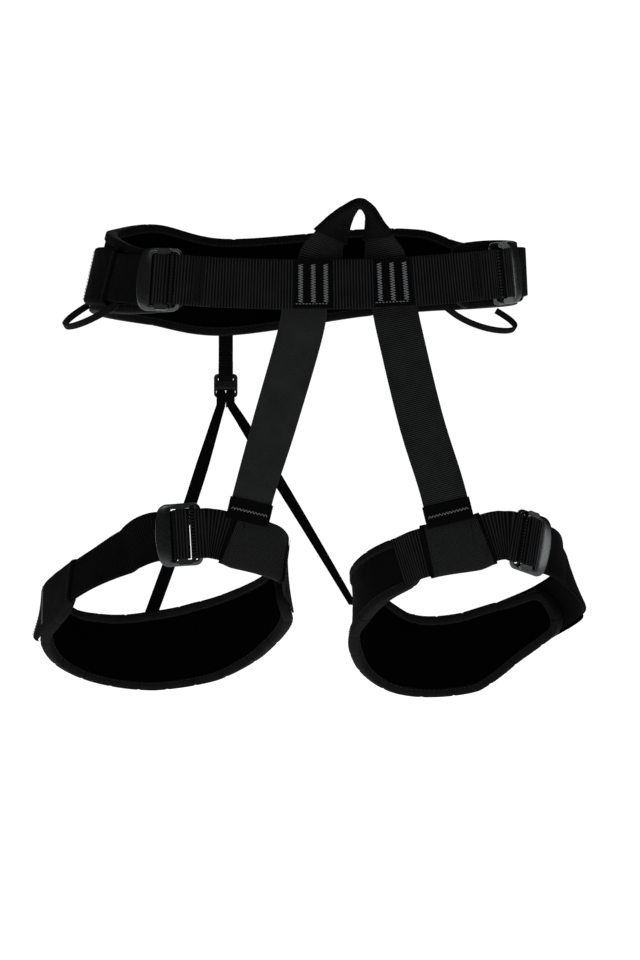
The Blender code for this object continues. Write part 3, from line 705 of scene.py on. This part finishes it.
class PadShape:
    """A pad on a line: rounded corners, crowned faces and an outline for its rim tape."""

    def __init__(self, line, start, end, heights, corner):
        self.line, self.start, self.end = line, start, end
        self.heights, self.corner = heights, corner

    def limits(self, s):
        """Rise and drop with the corners rounded off."""
        rise, drop = self.heights(s)
        near = min(s - self.start, self.end - s)
        cut = 0.0
        if near < self.corner:
            cut = self.corner - math.sqrt(max(self.corner ** 2 - (self.corner - near) ** 2, 0.0))
        return rise - cut, drop - cut

    def outline(self, step=2.5):
        """(s, up) points round the rim, evenly spaced."""
        r = self.corner
        turns = np.linspace(0.0, math.pi / 2, 9)[1:-1]
        ends = self.start, self.end
        inner = np.arange(ends[0] + r, ends[1] - r + 0.01, 4.0)
        top = [(s, self.heights(s)[0]) for s in inner]
        low = [(s, -self.heights(s)[1]) for s in inner[::-1]]
        points = list(top)
        rise, drop = self.heights(ends[1] - r)
        points += [(ends[1] - r + r * math.sin(a), rise - r + r * math.cos(a)) for a in turns]
        points += [(ends[1], u) for u in np.linspace(rise - r, -drop + r, 8)]
        points += [(ends[1] - r + r * math.cos(a), -drop + r - r * math.sin(a)) for a in turns]
        points += low
        rise, drop = self.heights(ends[0] + r)
        points += [(ends[0] + r - r * math.sin(a), -drop + r - r * math.cos(a)) for a in turns]
        points += [(ends[0], u) for u in np.linspace(-drop + r, rise - r, 8)]
        points += [(ends[0] + r - r * math.cos(a), rise - r + r * math.sin(a)) for a in turns]
        rows = np.array(points)
        rows = np.hstack([rows, np.zeros((len(rows), 1))])
        rows, at = even(np.vstack([rows, rows[:1]]), step)
        return rows[:-1, :2], at[:-1]


def pad_body(name, shape, bulge_in, bulge_out, body, nodes, seed):
    """Crowned pad: knitted lining inside, woven shell outside, shallow creases in both."""
    count = int((shape.end - shape.start) / 3.0)
    stations = np.linspace(shape.start + 0.2, shape.end - 0.2, count)
    shares = np.linspace(0.0, 1.0, 17)
    rows, uvs = [], []
    for s in stations:
        rise, drop = shape.limits(s)
        near = min(s - shape.start, shape.end - s) / 26.0
        fade = math.sin(clamp(near) * math.pi / 2)
        section, marks = [], []
        for face, off, bulge in ((0, LINING_IN, -bulge_in), (1, SHELL_OUT, bulge_out)):
            for share in (shares if face == 0 else shares[::-1]):
                up = -drop + (rise + drop) * share
                crown = (1 - (2 * share - 1) ** 4) * fade
                crease = hash_wave(np.array(s * 0.11 + up * 0.05 + face * 3), seed) * 0.35
                fine = hash_wave(np.array(s * 0.31 - up * 0.21), seed + 4) * 0.18
                section.append(shape.line.place(s, up, off + crown * (bulge + crease + fine)))
                marks.append((up, s))
        rows.append(section)
        uvs.append(marks)
    rows = np.array(rows)
    faces = grid(rows)
    size = rows.shape[1]
    half = size // 2
    kinds = [0 if (f[0] % size) < half - 1 else 1 for f in faces[:-2]] + [1, 1]
    made = put(name, rows.reshape(-1, 3), faces, np.array(uvs).reshape(-1, 2),
               ["lining", "shell"], kinds)
    place_on(made, body, *nodes)
    return made


def pad_binding(name, shape, body, node, seed, gathers=27.0, look="binding"):
    """Rim tape folded over the pad's edge, with gathers, and its row of stitches."""
    lo, hi = LINING_IN - 0.85, SHELL_OUT + 0.85
    outline, at = shape.outline(1.3)
    ahead = np.roll(outline, -1, 0) - np.roll(outline, 1, 0)
    ahead = unit(ahead)
    inward = np.stack([ahead[:, 1], -ahead[:, 0]], 1)
    lift = 0.9
    middle = (lo + hi) / 2
    nose = [(0.4 + lift * math.cos(a) * 1.4, middle + (hi + lift - middle) * math.sin(a))
            for a in np.linspace(-1.35, 1.35, 9)]
    outer = [(-RIM, lo - 0.1), (-RIM + 0.5, lo - lift), (-RIM * 0.5, lo - lift * 1.25)] + nose
    outer += [(-RIM * 0.5, hi + lift * 1.25), (-RIM + 0.5, hi + lift), (-RIM, hi + 0.1)]
    rows, uvs = [], []
    walked = np.cumsum([0.0] + [abs(b[0] - a[0]) + abs(b[1] - a[1])
                                for a, b in zip(outer, outer[1:])])
    for (s, up), inn, l in zip(outline, inward, at):
        phase = (l / gathers + 0.35 * math.sin(l * 0.021 + seed)) % 1.0
        pinch = math.exp(-((phase - 0.5) * gathers / 0.95) ** 2)
        ripple = float(hash_wave(np.array(l * 0.33), seed)) * 0.28
        section = []
        for d, off in outer:
            face = 1.0 if off > (lo + hi) / 2 else -1.0
            press = (-1.15 * pinch + ripple) * face * min(1.0, max(0.0, -d / 3.0))
            edge = -0.8 * pinch * (1.0 if d > 0 else 0.0)
            point = shape.line.place(s - inn[0] * (d + edge), up - inn[1] * (d + edge), off + press)
            section.append(point)
        rows.append(section)
        uvs.append([(w, l) for w in walked])
    made = skin(name, rows, uvs, look, False, True)
    thicken(made, "tape", TAPE_T)
    place_on(made, body, node)
    seam = Stitches(0.24, 5)
    reach = RIM - 1.5
    total = at[-1]

    def on_face(face):
        def spot(l):
            k = (l % total) / total * len(outline)
            i, f = int(k) % len(outline), k - int(k)
            j = (i + 1) % len(outline)
            here = outline[i] * (1 - f) + outline[j] * f
            inn = inward[i]
            off = (hi + lift + 0.12) if face else (lo - lift - 0.12)
            _, _, _, out = shape.line.frame(here[0])
            return (shape.line.place(here[0] + inn[0] * reach, here[1] + inn[1] * reach, off),
                    out if face else -out)
        return spot
    for face in (0, 1):
        seam.running(on_face(face), total, 3.4)
    seam.done(name + "_stitches", body, "thread_grey")
    return made


def make_pads():
    """The belt pad and both leg pads."""
    waist = PadShape(WAIST_LINE, PAD_RIGHT_END, WAIST_LINE.length + PAD_LEFT_END,
                     lambda s: tuple(WAIST_LINE.row(s)[3:5]), WAIST_CORNER)
    pad_body("waist_pad", waist, 1.2, 0.9, "belt",
             ["waist_foam", "waist_lining", "waist_shell"], 1.0)
    # painted shade: the belt pad's rim tape takes the darker copy of the binding tape
    pad_binding("waist_rim", waist, "belt", "waist_binding", 1.0, 60.0, "binding_dark")
    for side, line in LEG_LINES.items():
        table = PAD_TABLES[side]

        def heights(s, table=table, size=line.length):
            share = s / size
            return (float(np.interp(share, table[:, 0], table[:, 1])),
                    float(np.interp(share, table[:, 0], table[:, 2])))
        key = "leg_" + side
        shape = PadShape(line, table[0, 0] * line.length, PAD_ENDS[side] * line.length, heights,
                         LEG_CORNER)
        pad_body(key + "_pad", shape, 1.2, 0.8, key,
                 [key + "_foam", key + "_lining", key + "_shell"], 2.0 + len(side))
        pad_binding(key + "_rim", shape, key, key + "_binding", 3.0 + len(side))


# ---------------------------------------------------------------- covers

def cover(name, line, start, end, up_reach, low_reach, look, body, node, seam_at=(), flange=6.0,
          thread="thread_grey"):
    """Cloth sleeve over a strap, its long edges turned down to the pad, hems at both ends."""
    profile = [(-low_reach - 1.8, COVER_OUT - flange),
               (-low_reach - 1.0, COVER_OUT - flange * 0.45),
               (-low_reach + 0.6, COVER_OUT - 0.7), (-low_reach + 3.0, COVER_OUT)]
    profile += [(u, COVER_OUT) for u in np.linspace(-low_reach + 6, up_reach - 6, 9)]
    profile += [(up_reach - 3.0, COVER_OUT), (up_reach - 0.6, COVER_OUT - 0.7),
                (up_reach + 1.0, COVER_OUT - flange * 0.45), (up_reach + 1.8, COVER_OUT - flange)]
    count = int((end - start) / 1.5)
    rows, uvs = [], []
    for s in np.linspace(start, end, count):
        near = min(s - start, end - s)
        hem = 0.45 * (1.0 - clamp((near - 4.5) / 1.0))
        tuck = -0.9 * math.exp(-(near / 0.9) ** 2)
        section = []
        for u, off in profile:
            crease = float(hash_wave(np.array(s * 0.16 + u * 0.09), 2.2)) * 0.3
            section.append(line.place(s, u, off + hem + tuck + crease))
        rows.append(section)
        uvs.append([(u, s) for u, _ in profile])
    made = skin(name, rows, uvs, look, False)
    thicken(made, "cloth", COVER_T)
    place_on(made, body, node)
    seam = Stitches(0.26, 5)
    for where in (start + 3.2, end - 3.2):
        seam.running(lambda l, where=where: (
            line.place(where, -low_reach + 2 + l, COVER_OUT + 0.75), line.frame(where)[3]),
            up_reach + low_reach - 4.0)
    seam.done(name + "_stitches", body, thread)
    rows_of = Stitches(0.34, 5)
    for where in seam_at:
        rows_of.zigzag(lambda l, c, where=where: (
            line.place(where + c, -low_reach + 3 + l, COVER_OUT + 0.35), line.frame(where)[3]),
            up_reach + low_reach - 6.0, 2.2, 2.2)
    if seam_at:
        rows_of.done(name + "_row", body, "thread")
    return made


# ---------------------------------------------------------------- buckles

def rounded(q0, q1, half, radius, bow, corner_steps=9, side_steps=16):
    """Outline of a plate, its q1 side bowed out, points spread along all four sides."""
    points = []
    corners = ((q0, -half, 180), (q1, -half, 270), (q1, half, 0), (q0, half, 90))
    runs = []
    for cq, cu, turn in corners:
        mq = cq + (radius if cq == q0 else -radius)
        mu = cu + (radius if cu < 0 else -radius)
        runs.append([(mq + radius * math.cos(math.radians(turn + 90.0 * k / corner_steps)),
                      mu + radius * math.sin(math.radians(turn + 90.0 * k / corner_steps)))
                     for k in range(corner_steps + 1)])
    for k, run in enumerate(runs):
        points += run
        after = runs[(k + 1) % 4][0]
        for j in range(1, side_steps):
            f = j / side_steps
            points.append((run[-1][0] * (1 - f) + after[0] * f,
                           run[-1][1] * (1 - f) + after[1] * f))
    points = [list(p) for p in points]
    for p in points:
        share = clamp((p[0] - q0) / (q1 - q0))
        p[0] += bow * share * (1 - (p[1] / half) ** 2)
    return np.array(points)


def plate_ring(name, place, outer, inner, layer, soften, look, dish=0.0):
    """A ring of plate with rounded edges between an outer and an inner outline."""
    lo, hi = layer
    arcs = [(math.cos(a), math.sin(a)) for a in np.linspace(0.0, math.pi / 2, 4)]
    rows, uvs = [], []
    for index, (o, i) in enumerate(zip(outer, inner)):
        span = np.linalg.norm(o - i)
        r = min(soften, span * 0.45, (hi - lo) * 0.48)
        inward = (i - o) / span
        section = []
        section += [(o + inward * (r - r * c), hi - r + r * s) for c, s in arcs]
        mid = (o + i) / 2
        section += [(mid, hi + dish)]
        section += [(i - inward * (r - r * c), hi - r + r * s) for c, s in arcs[::-1]]
        section += [(i - inward * (r - r * c), lo + r - r * s) for c, s in arcs]
        section += [(o + inward * (r - r * c), lo + r - r * s) for c, s in arcs[::-1]]
        rows.append([place(p[0], p[1], n) for p, n in section])
        uvs.append([(k * 0.8, index * 0.8) for k in range(len(section))])
    return skin(name, rows, uvs, look, True, True)


def make_buckles():
    """Frames with rounded edges; the slider bars keep their CAD shape, softened."""
    outer = rounded(*FRAME_Q, FRAME_HALF, 7.0, FRAME_BOW)
    inner = rounded(*WINDOW_Q, WINDOW_HALF, 1.6, 0.0)
    for key, seat in SEATS.items():
        def bent(q, up, off, seat=seat):
            slope = clamp((q - 6.0) / 14.0) ** 2 * 0.5 + 0.12 * (up / FRAME_HALF) ** 2
            off = FRAME_OFF[0] + (off - FRAME_OFF[0]) * (1.0 - slope)
            return seat.at(q, up, off - 1.4 * (up / FRAME_HALF) ** 6)
        made = plate_ring(key + "_frame_plate", bent, outer, inner, FRAME_OFF, 1.4, "alloy", 0.3)
        place_on(made, HOLDERS[key], key + "_frame")
        dress(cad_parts[key + "_slider"], "alloy", 0.75)
        frame_lip(key, seat)


def frame_lip(key, seat):
    """Knurled bar across the frame beside the slider, its ends bent down onto the rails."""
    count, half = 69, 25.2
    angles = np.arange(16) * TAU / 16
    ca, sa = np.cos(angles), np.sin(angles)
    lip_q = np.sign(ca) * np.abs(ca) ** 0.5
    rows, uvs = [], []
    for k in range(count):
        up = -half + 2 * half * k / (count - 1)
        bend = clamp((abs(up) - 22.4) / 1.8)
        notch = 0.3 if k % 4 in (2, 3) and bend == 0.0 else 0.0
        off = LIP_OFF - 1.7 * bend * bend * (3.0 - 2.0 * bend)
        rows.append([seat.at(LIP_Q + 2.0 * a, up, off + 0.75 * b + (notch if b > 0 else 0.0))
                     for a, b in zip(lip_q, sa)])
        uvs.append([(a, up) for a in angles])
    # painted shade: the lip takes the darker copy of the slider's alloy
    place_on(skin(key + "_frame_lip", rows, uvs, "alloy_dark"), HOLDERS[key])


def dress(node, look, bevel):
    """Give a CAD node its finished material and softened edges."""
    node.data.materials.clear()
    node.data.materials.append(LOOKS[look])
    soft = node.modifiers.new("edges", "BEVEL")
    soft.width = bevel * MM
    soft.segments = 3
    soft.limit_method = "ANGLE"
    soft.angle_limit = math.radians(35.0)
    for face in node.data.polygons:
        face.use_smooth = True


# ---------------------------------------------------------------- waist webbing

def make_front():
    """Front waist webbing with both sewn blocks and the tack rows beside the buckles."""
    left, right = SEATS["waist_left"], SEATS["waist_right"]
    reach, onwards = 44.0, 56.0
    points, wides = left.path(fixed_loop(reach, onwards))
    for s in np.arange(BUCKLE_LEFT + onwards + 8.0, BUCKLE_RIGHT - onwards - 5.0, 8.0):
        points.append(WAIST_LINE.place(s, 0.0, FRONT_OFF))
        wides.append(WAIST_LINE.frame(s)[2])
    more, also = right.path(fixed_loop(reach, onwards)[::-1])
    made = webbing("front_webbing_cloth", points + more, wides + also, WEB, WEB_T, "webbing")
    place_on(made, "belt", "front_webbing")
    pale = Stitches(0.40)
    for name, x_mid in (("tack_block_left", 6.0), ("tack_block_right", 76.0)):
        s0 = float(np.interp(x_mid, WAIST_LINE.rows[:60, 0], WAIST_LINE.s[:60]))
        sewn_block(name, s0, 17.0, pale)
    pale.done("block_zigzags", "belt", "thread")
    dark = Stitches(0.45)
    for q in (31.0, 34.0, 37.0):
        for seat in (left, right):
            def at(l, c, q=q, seat=seat):
                point, wide = seat.spot(-q + c, -19.5 + l, FRONT_OFF + WEB_T / 2 + 0.3)
                return point, seat.out
            dark.zigzag(at, 39.0, 1.7, 2.6)
    dark.done("waist_tack_rows", "belt", "thread_dark")


def sewn_block(name, s0, half, pale):
    """Dark patch of dense sewing with three pale zigzag rows and one along its foot."""
    z0 = FRONT_OFF + WEB_T / 2
    low, high = -21.6, 21.6
    edge = (0.0, 0.5, 0.8, 0.95, 1.0)
    qs = np.concatenate([-half + 1.2 * np.array(edge), np.linspace(-half + 2.5, half - 2.5, 21),
                         half - 1.2 * np.array(edge[::-1])])
    us = np.concatenate([low + 1.2 * np.array(edge), np.linspace(low + 2.5, high - 2.5, 21),
                         high - 1.2 * np.array(edge[::-1])])
    rows, uvs = [], []
    for q in qs:
        section = []
        for u in us:
            rim = min(half - abs(q), min(u - low, high - u)) / 1.2
            lift = 0.75 * math.sqrt(max(1 - (1 - min(rim, 1.0)) ** 2, 0.0))
            dip = 0.28 * max(math.exp(-((q - c) / 2.6) ** 2) for c in BLOCK_ROWS)
            lift -= dip * (1.0 if rim > 1 else 0.0)
            section.append(WAIST_LINE.place(s0 + q, u, z0 + 0.15 + lift))
        rows.append(section)
        uvs.append([(u, q) for u in us])
    made = skin(name + "_patch", rows, uvs, "block", False)
    thicken(made, "patch", PATCH_T)
    place_on(made, "belt", name)
    out = WAIST_LINE.frame(s0)[3]
    for c0 in BLOCK_ROWS:
        pale.zigzag(lambda l, c, c0=c0: (WAIST_LINE.place(s0 + c0 + c, -16.0 + l, z0 + 0.75), out),
                    34.0, 2.25, 4.2)
    pale.running(lambda l: (WAIST_LINE.place(s0 - 15.5 + l, -17.4, z0 + 0.95), out), 31.0, 2.9, 0.6)


def make_covers():
    """Cover panels on both hips and on the outside of both leg loops."""
    cover("hip_panel_right", WAIST_LINE, BUCKLE_RIGHT + 50, BUCKLE_RIGHT + 100, 24.0, 25.0, "cover",
          "belt", "hip_cover_right")
    cover("hip_panel_left", WAIST_LINE, BUCKLE_LEFT - 100, BUCKLE_LEFT - 50, 26.5, 26.0, "cover",
          "belt", "hip_cover_left", flange=7.5)
    for side, line in LEG_LINES.items():
        start = PAD_TABLES[side][0, 0] * line.length
        cover("leg_" + side + "_wrap", line, start - 13, start + 53, 24.0, 24.0,
              "panel" if side == "left" else "cover", "leg_" + side, "leg_" + side + "_panel",
              (start + 32,))


# ---------------------------------------------------------------- tie-in loop, risers, leg webbing

def tie_in_frames(count):
    line = Line(TIE_IN, closed=False)
    found = []
    for s in np.linspace(0.0, line.length, count):
        here = line.row(s)
        along = line.row(s + 2)[:3] - line.row(s - 2)[:3]
        along /= np.linalg.norm(along)
        turn = math.radians(here[3])
        side = np.cross(along, (0.0, -1.0, 0.0))
        side /= np.linalg.norm(side)
        wide = side * math.cos(turn) + np.array([0, 1.0, 0]) * math.sin(turn)
        wide -= along * wide.dot(along)
        wide /= np.linalg.norm(wide)
        found.append((here[:3], along, wide, here[4]))
    return found


def sleeve_tube(name, frames, half_widths, half_thick, wall, look, folds=0.0, hem=2.5,
                trim=None):
    """Closed cloth sleeve along frames, its ends hemmed, with soft folds along it."""
    ring = 32
    angles = np.arange(ring) * TAU / ring
    ca, sa = np.cos(angles), np.sin(angles)
    shape_a = np.sign(ca) * np.abs(ca) ** 0.35
    shape_b = np.sign(sa) * np.abs(sa) ** 0.55
    count = len(frames)
    walked = np.concatenate([[0.0], np.cumsum([np.linalg.norm(frames[k + 1][0] - frames[k][0])
                                               for k in range(count - 1)])])
    rows, uvs = [], []
    for layer, order in ((0.0, range(count)), (1.0, range(count - 1, -1, -1))):
        for k in order:
            here, along, wide = frames[k][:3]
            wide = unit(wide - along * np.dot(along, wide))
            thick = np.cross(along, wide)
            near = min(walked[k], walked[-1] - walked[k])
            swell = 0.4 * (1.0 - clamp((near - hem) / 0.8)) if layer == 0 else 0.0
            crease = folds * float(hash_wave(np.array(walked[k] * 0.5), 1.7)) * (1 - layer)
            a = shape_a * (half_widths[k] - wall * layer + swell * 0.4)
            b = shape_b * (half_thick + swell + crease - wall * layer)
            rows.append(here + a[:, None] * wide + b[:, None] * thick)
            uvs.append(np.stack([a, np.full(ring, walked[k])], 1))
    rows = np.array(rows)
    faces = grid(rows, True, True)
    marks = None
    if trim:
        near = [min(uvs[f[0] // ring][0, 1], walked[-1] - uvs[f[0] // ring][0, 1]) for f in faces]
        marks = [1 if d < hem else 0 for d in near]
        look = [look, trim]
    return put(name, rows.reshape(-1, 3), faces, np.array(uvs).reshape(-1, 2), look, marks)


def make_tie_in():
    """Doubled tie-in webbing and its guard sleeve."""
    frames = tie_in_frames(121)
    made = webbing("tie_in_cloth", [f[0] for f in frames[::3]], [f[2] for f in frames[::3]],
                   [f[3] for f in frames[::3]], TIE_IN_T, "tie_in", 1.8, 0.12, faces=13)
    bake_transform(made)
    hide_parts("tie_in_webbing")
    guarded = frames[slice(*GUARD_SPAN)]
    tube = sleeve_tube("tie_in_sleeve", guarded, [f[3] / 2 + 2.0 for f in guarded], 4.1, 1.0,
                       "guard", 0.25)
    place_on(tube, "tie_in", "tie_in_guard")


def make_risers():
    """Risers, each with its dark stitched band above the leg sleeve."""
    for side, points in RISERS.items():
        body = "leg_" + side
        line = Line(points, closed=False, axis=(1, 0, 0), facing=(0, -1, 0))
        where = np.linspace(0.0, line.length, 30)
        frames = [line.frame(s) for s in where]
        widths = [line.row(s)[3] for s in where]
        look = "riser" if side == "left" else "riser_ribbed"
        made = webbing("riser_" + side + "_cloth", [f[0] for f in frames], [f[2] for f in frames],
                       widths, RISER_T, look, 1.75, 0.05, 1.2, 13)
        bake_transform(made)
        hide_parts("riser_" + side)
        spots = np.linspace(line.length - 11.5, line.length + 8.5, 9)
        ends, wides = [], []
        for s in spots:
            here, along, wide, _ = line.frame(min(s, line.length))
            over = max(s - line.length, 0.0)
            ends.append(here + along * over + np.array([0, -BAND_STAND, 0]))
            wides.append(wide)
        band = webbing("riser_" + side + "_keeper", ends, wides, widths[-1] + 2.6, BAND_T, "band",
                       1.6, 0.03, 0.8)
        place_on(band, body, "riser_" + side + "_band")
        row = Stitches(0.33)
        middle, along, wide, _ = line.frame(line.length - 1.5)
        span = widths[-1] - 4.0

        def at(l, c, middle=middle, along=along, wide=wide, span=span):
            spot = middle + wide * (l - span / 2) + along * c + np.array([0, -2.65, 0])
            return spot, (0, -1.0, 0)
        row.zigzag(at, span, 3.1, 2.2)
        row.done("riser_" + side + "_row", body, "thread")


def make_leg_webbing():
    """Fixed leg webbing, the sleeve over it with its hemmed ends in the darker band cloth, and the
    stitch rows near those ends.
    """
    for side, line in LEG_LINES.items():
        body = "leg_" + side
        seat = SEATS[body]
        end = PAD_ENDS[side] * line.length
        last = end - line.length + 6.0
        pairs = fixed_loop(36.0, 40.0)
        for q in np.arange(-44.0, last - LEG_BUCKLE - 26.0, -4.0):
            drop = clamp((-SLEEVE_HALF - 9.0 - q - LEG_BUCKLE) / 16.0)
            pairs.append((q, FRONT_OFF + (STRAP_OFF - FRONT_OFF) * drop))
        points, wides = seat.path(pairs)
        made = webbing(body + "_anchor_cloth", points, wides, WEB, WEB_T, "webbing", RIB, 0.09)
        place_on(made, body, body + "_anchor")
        spots = np.linspace(-SLEEVE_HALF, SLEEVE_HALF, 41) - LEG_BUCKLE
        frames = []
        points, wides = seat.path([(q, FRONT_OFF) for q in spots])
        alongs = unit(np.gradient(np.array(points), axis=0))
        for p, t, w in zip(points, alongs, wides):
            frames.append((p, t, w))
        # the sleeve's hemmed ends take the darker band cloth, so the sleeve is darker at both ends
        tube = sleeve_tube(body + "_sleeve_cloth", frames, [SLEEVE_W_HALF] * len(frames),
                           SLEEVE_T_HALF, SLEEVE_WALL, "sleeve", 0.2, 3.4, "band")
        place_on(tube, body, body + "_sleeve")
        edge = Stitches(0.24, 5)
        for q in (-SLEEVE_HALF + 2.0, SLEEVE_HALF - 2.0):
            def at(l, q=q, seat=seat):
                point, _ = seat.spot(q - LEG_BUCKLE, -21.0 + l, FRONT_OFF + 4.0)
                return point, seat.out
            edge.running(at, 42.0, 3.0)
        edge.done(body + "_sleeve_stitches", body, "thread_dark")


# ---------------------------------------------------------------- loops, tab, hook, elastics

def make_gear_loops():
    """Thin sewn loops at both hips."""
    ends = {
        "left": ((BUCKLE_LEFT - 106, -27, 11.5), (BUCKLE_LEFT - 31, -27, 21.5),
                 (-31, -10, -21), 0.1),
        "right": ((BUCKLE_RIGHT - 8, -33.5, 8), (BUCKLE_RIGHT - 62, -26, 15.2),
                  (28, -6, -20), 0.3),
    }
    for side, (back, front, low, bulge) in ends.items():
        a = WAIST_LINE.place(*back)
        b = WAIST_LINE.place(*front)
        middle = (a + b) / 2
        low = np.array(low, float)
        centres = []
        for k in range(41):
            t = math.pi * k / 40
            centres.append(middle + (a - middle) * math.cos(t) * (1 + bulge * math.sin(t))
                           + low * math.sin(t) ** 0.9)
        across = unit(np.cross(a - b, low))
        made = webbing("gear_loop_" + side + "_cloth", centres, [across] * len(centres),
                       LOOP_W, LOOP_T, "loop", 1.3, 0.07, 0.65, 5)
        place_on(made, "gear_" + side, "gear_loop_" + side)


def hook_body(x, y, z):
    """Ridged web across the middle of the hook, and the sewing on the tab above it."""
    half, rise, fall = HOOK_WINDOW[0] + 1.0, 5.5, 5.0
    rows, uvs = [], []
    for k in range(49):
        across = -half + 2 * half * k / 48
        cheek = 2.6 * clamp((abs(across) - 7.4) / 0.4)
        sag = 1.3 * (1 - (across / half) ** 2)
        section = []
        for a in np.arange(28) * TAU / 28:
            ridge = 0.45 * math.cos(3 * a) * (1.0 if math.sin(a) < 0 else 0.3)
            section.append((x + across, y + (2.1 + ridge) * math.sin(a) * 0.95,
                            z + (rise + cheek if math.cos(a) > 0 else fall) * math.cos(a) * 0.97
                            + sag * 0.35 - 0.3))
        rows.append(section)
        uvs.append([(j, across) for j in range(28)])
    place_on(skin("rear_hook_web", rows, uvs, "plastic"), "belt")
    tacks = Stitches(0.3, 5)
    for level in (-56.0, -58.5, -61.0, -63.5):
        def at(l, c, level=level):
            return (x - 6.2 + l, y + 0.05 + 0.221 * (level + c + 50.0), level + c), (0, -1.0, 0)
        tacks.zigzag(at, 12.4, 1.5, 2.2)
    tacks.done("rear_tab_tack", "belt", "thread_dark")


def make_rear():
    """Tab under the belt, the hook in it and the two elastics."""
    x, y, z = HOOK_CENTRE
    top_bar = z + (HOOK_HALF[1] + HOOK_WINDOW[1]) / 2
    centres = [(x, y + 0.7, -8), (x, y + 0.8, -50), (x, y - 2.9, top_bar + 8)]
    for a in np.radians(np.linspace(160, 380, 11)):
        centres.append((x, y + TAB_TURN * math.cos(a), top_bar + TAB_TURN * math.sin(a)))
    centres += [(x, y + 3.4, top_bar + 8), (x, y + 2.6, -60)]
    tab = webbing("rear_tab_cloth", centres, [np.array([1.0, 0, 0])] * len(centres), TAB_W, TAB_T,
                  "strap", 2.1, 0.1)
    place_on(tab, "belt", "rear_tab")
    dress(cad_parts["rear_hook"], "plastic", 0.5)
    hook_body(x, y, z)
    bar = z - (HOOK_HALF[1] + HOOK_WINDOW[1]) / 2
    for side, (shift, end, end_wide, bow) in ELASTICS.items():
        start = np.array([x + shift, y, bar])
        across = np.array([1.0, 0.0, 0.0])
        path = [start + (0, -ELASTIC_TURN, -12), start + (0, -ELASTIC_TURN, -5)]
        for a in np.radians(np.linspace(0, 180, 9)):
            path.append(start + ELASTIC_TURN * np.array([0, -math.cos(a), math.sin(a)]))
        low = start + np.array([0, 3.6, -8])
        wides = [across] * len(path)
        widths = [ELASTIC_W[0]] * len(path)
        end, end_wide = np.asarray(end, float), np.asarray(end_wide, float)
        for t in np.linspace(0.0, 1.0, 15):
            path.append(low * (1 - t) + end * t + np.asarray(bow) * math.sin(math.pi * t))
            wides.append(across * (1 - t) + end_wide * t)
            widths.append(float(np.interp(t, (0.0, 0.3), ELASTIC_W)))
        made = webbing("elastic_" + side + "_band", path, wides, widths, ELASTIC_T, "elastic",
                       1.5, 0.09, faces=5)
        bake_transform(made)
        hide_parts("elastic_" + side)


# ---------------------------------------------------------------- studio

def make_studio():
    """Pale floor, pale surroundings, soft lights and the camera."""
    mesh = bpy.data.meshes.new("floor")
    reach, level = 30.0, -0.47
    mesh.from_pydata([(-reach, -reach, level), (reach, -reach, level), (reach, reach, level),
                      (-reach, reach, level)], [], [(0, 1, 2, 3)])
    floor = bpy.data.objects.new("floor", mesh)
    bpy.context.scene.collection.objects.link(floor)
    paint = bpy.data.materials.new("floor_pale")
    paint.use_nodes = True
    shader = paint.node_tree.nodes["Principled BSDF"]
    shader.inputs["Base Color"].default_value = (0.9, 0.9, 0.9, 1.0)
    shader.inputs["Roughness"].default_value = 0.9
    shader.inputs["Emission Color"].default_value = (1.0, 1.0, 1.0, 1.0)
    shader.inputs["Emission Strength"].default_value = 1.0
    mesh.materials.append(paint)

    world = bpy.data.worlds.new("studio")
    bpy.context.scene.world = world
    world.use_nodes = True
    tree = world.node_tree
    back = tree.nodes["Background"]
    back.inputs["Color"].default_value = (1.0, 1.0, 1.0, 1.0)
    path = tree.nodes.new("ShaderNodeLightPath")
    level_of = tree.nodes.new("ShaderNodeMapRange")
    level_of.inputs["To Min"].default_value = 0.055
    level_of.inputs["To Max"].default_value = 1.05
    tree.links.new(path.outputs["Is Camera Ray"], level_of.inputs["Value"])
    tree.links.new(level_of.outputs[0], back.inputs["Strength"])

    lights = (
        ("key", (-1.1, -1.7, 1.5), (0.0, 0.0, -0.05), 1.1, 7.2),
        ("fill", (1.6, -1.5, 0.5), (0.1, 0.0, -0.1), 0.7, 2.6),
        ("strip_left", (-1.7, -0.5, -0.1), (-0.1, -0.05, -0.1), 0.4, 2.3),
        ("strip_right", (1.9, -0.3, 0.0), (0.1, -0.05, -0.1), 0.4, 2.0),
        ("rear", (0.3, 2.2, 1.3), (0.0, 0.0, -0.1), 1.6, 6.5),
        ("top", (0.0, 0.0, 2.2), (0.0, 0.0, 0.0), 1.6, 5.0),
    )
    for name, where, target, size, power in lights:
        data = bpy.data.lights.new(name, "AREA")
        data.shape = "DISK"
        data.size = size
        data.energy = power
        lamp = bpy.data.objects.new(name, data)
        bpy.context.scene.collection.objects.link(lamp)
        aim = np.array(target) - np.array(where)
        lamp.location = where
        lamp.rotation_mode = "QUATERNION"
        lamp.rotation_quaternion = Vector(aim.tolist()).to_track_quat("-Z", "Y")

    camera = bpy.data.cameras.new("camera")
    camera.lens = CAMERA_LENS
    camera.sensor_width = 36.0
    camera.clip_start = 0.05
    camera.clip_end = 100.0
    holder = bpy.data.objects.new("camera", camera)
    bpy.context.scene.collection.objects.link(holder)
    holder.location = CAMERA_AT
    holder.rotation_euler = (math.radians(90.0), 0.0, 0.0)
    bpy.context.scene.camera = holder
    bpy.context.scene.view_settings.view_transform = "Standard"


make_studio()
make_pads()
make_buckles()
make_front()
adjustable("waist_left", 120.0, 74.0)
adjustable("waist_right", 120.0, 74.0)
for leg, its_line in LEG_LINES.items():
    pad_start = PAD_TABLES[leg][0, 0] * its_line.length
    adjustable("leg_" + leg, pad_start + 40 - LEG_BUCKLE, pad_start + 14 - LEG_BUCKLE)
make_covers()
make_tie_in()
make_risers()
make_leg_webbing()
make_gear_loops()
make_rear()
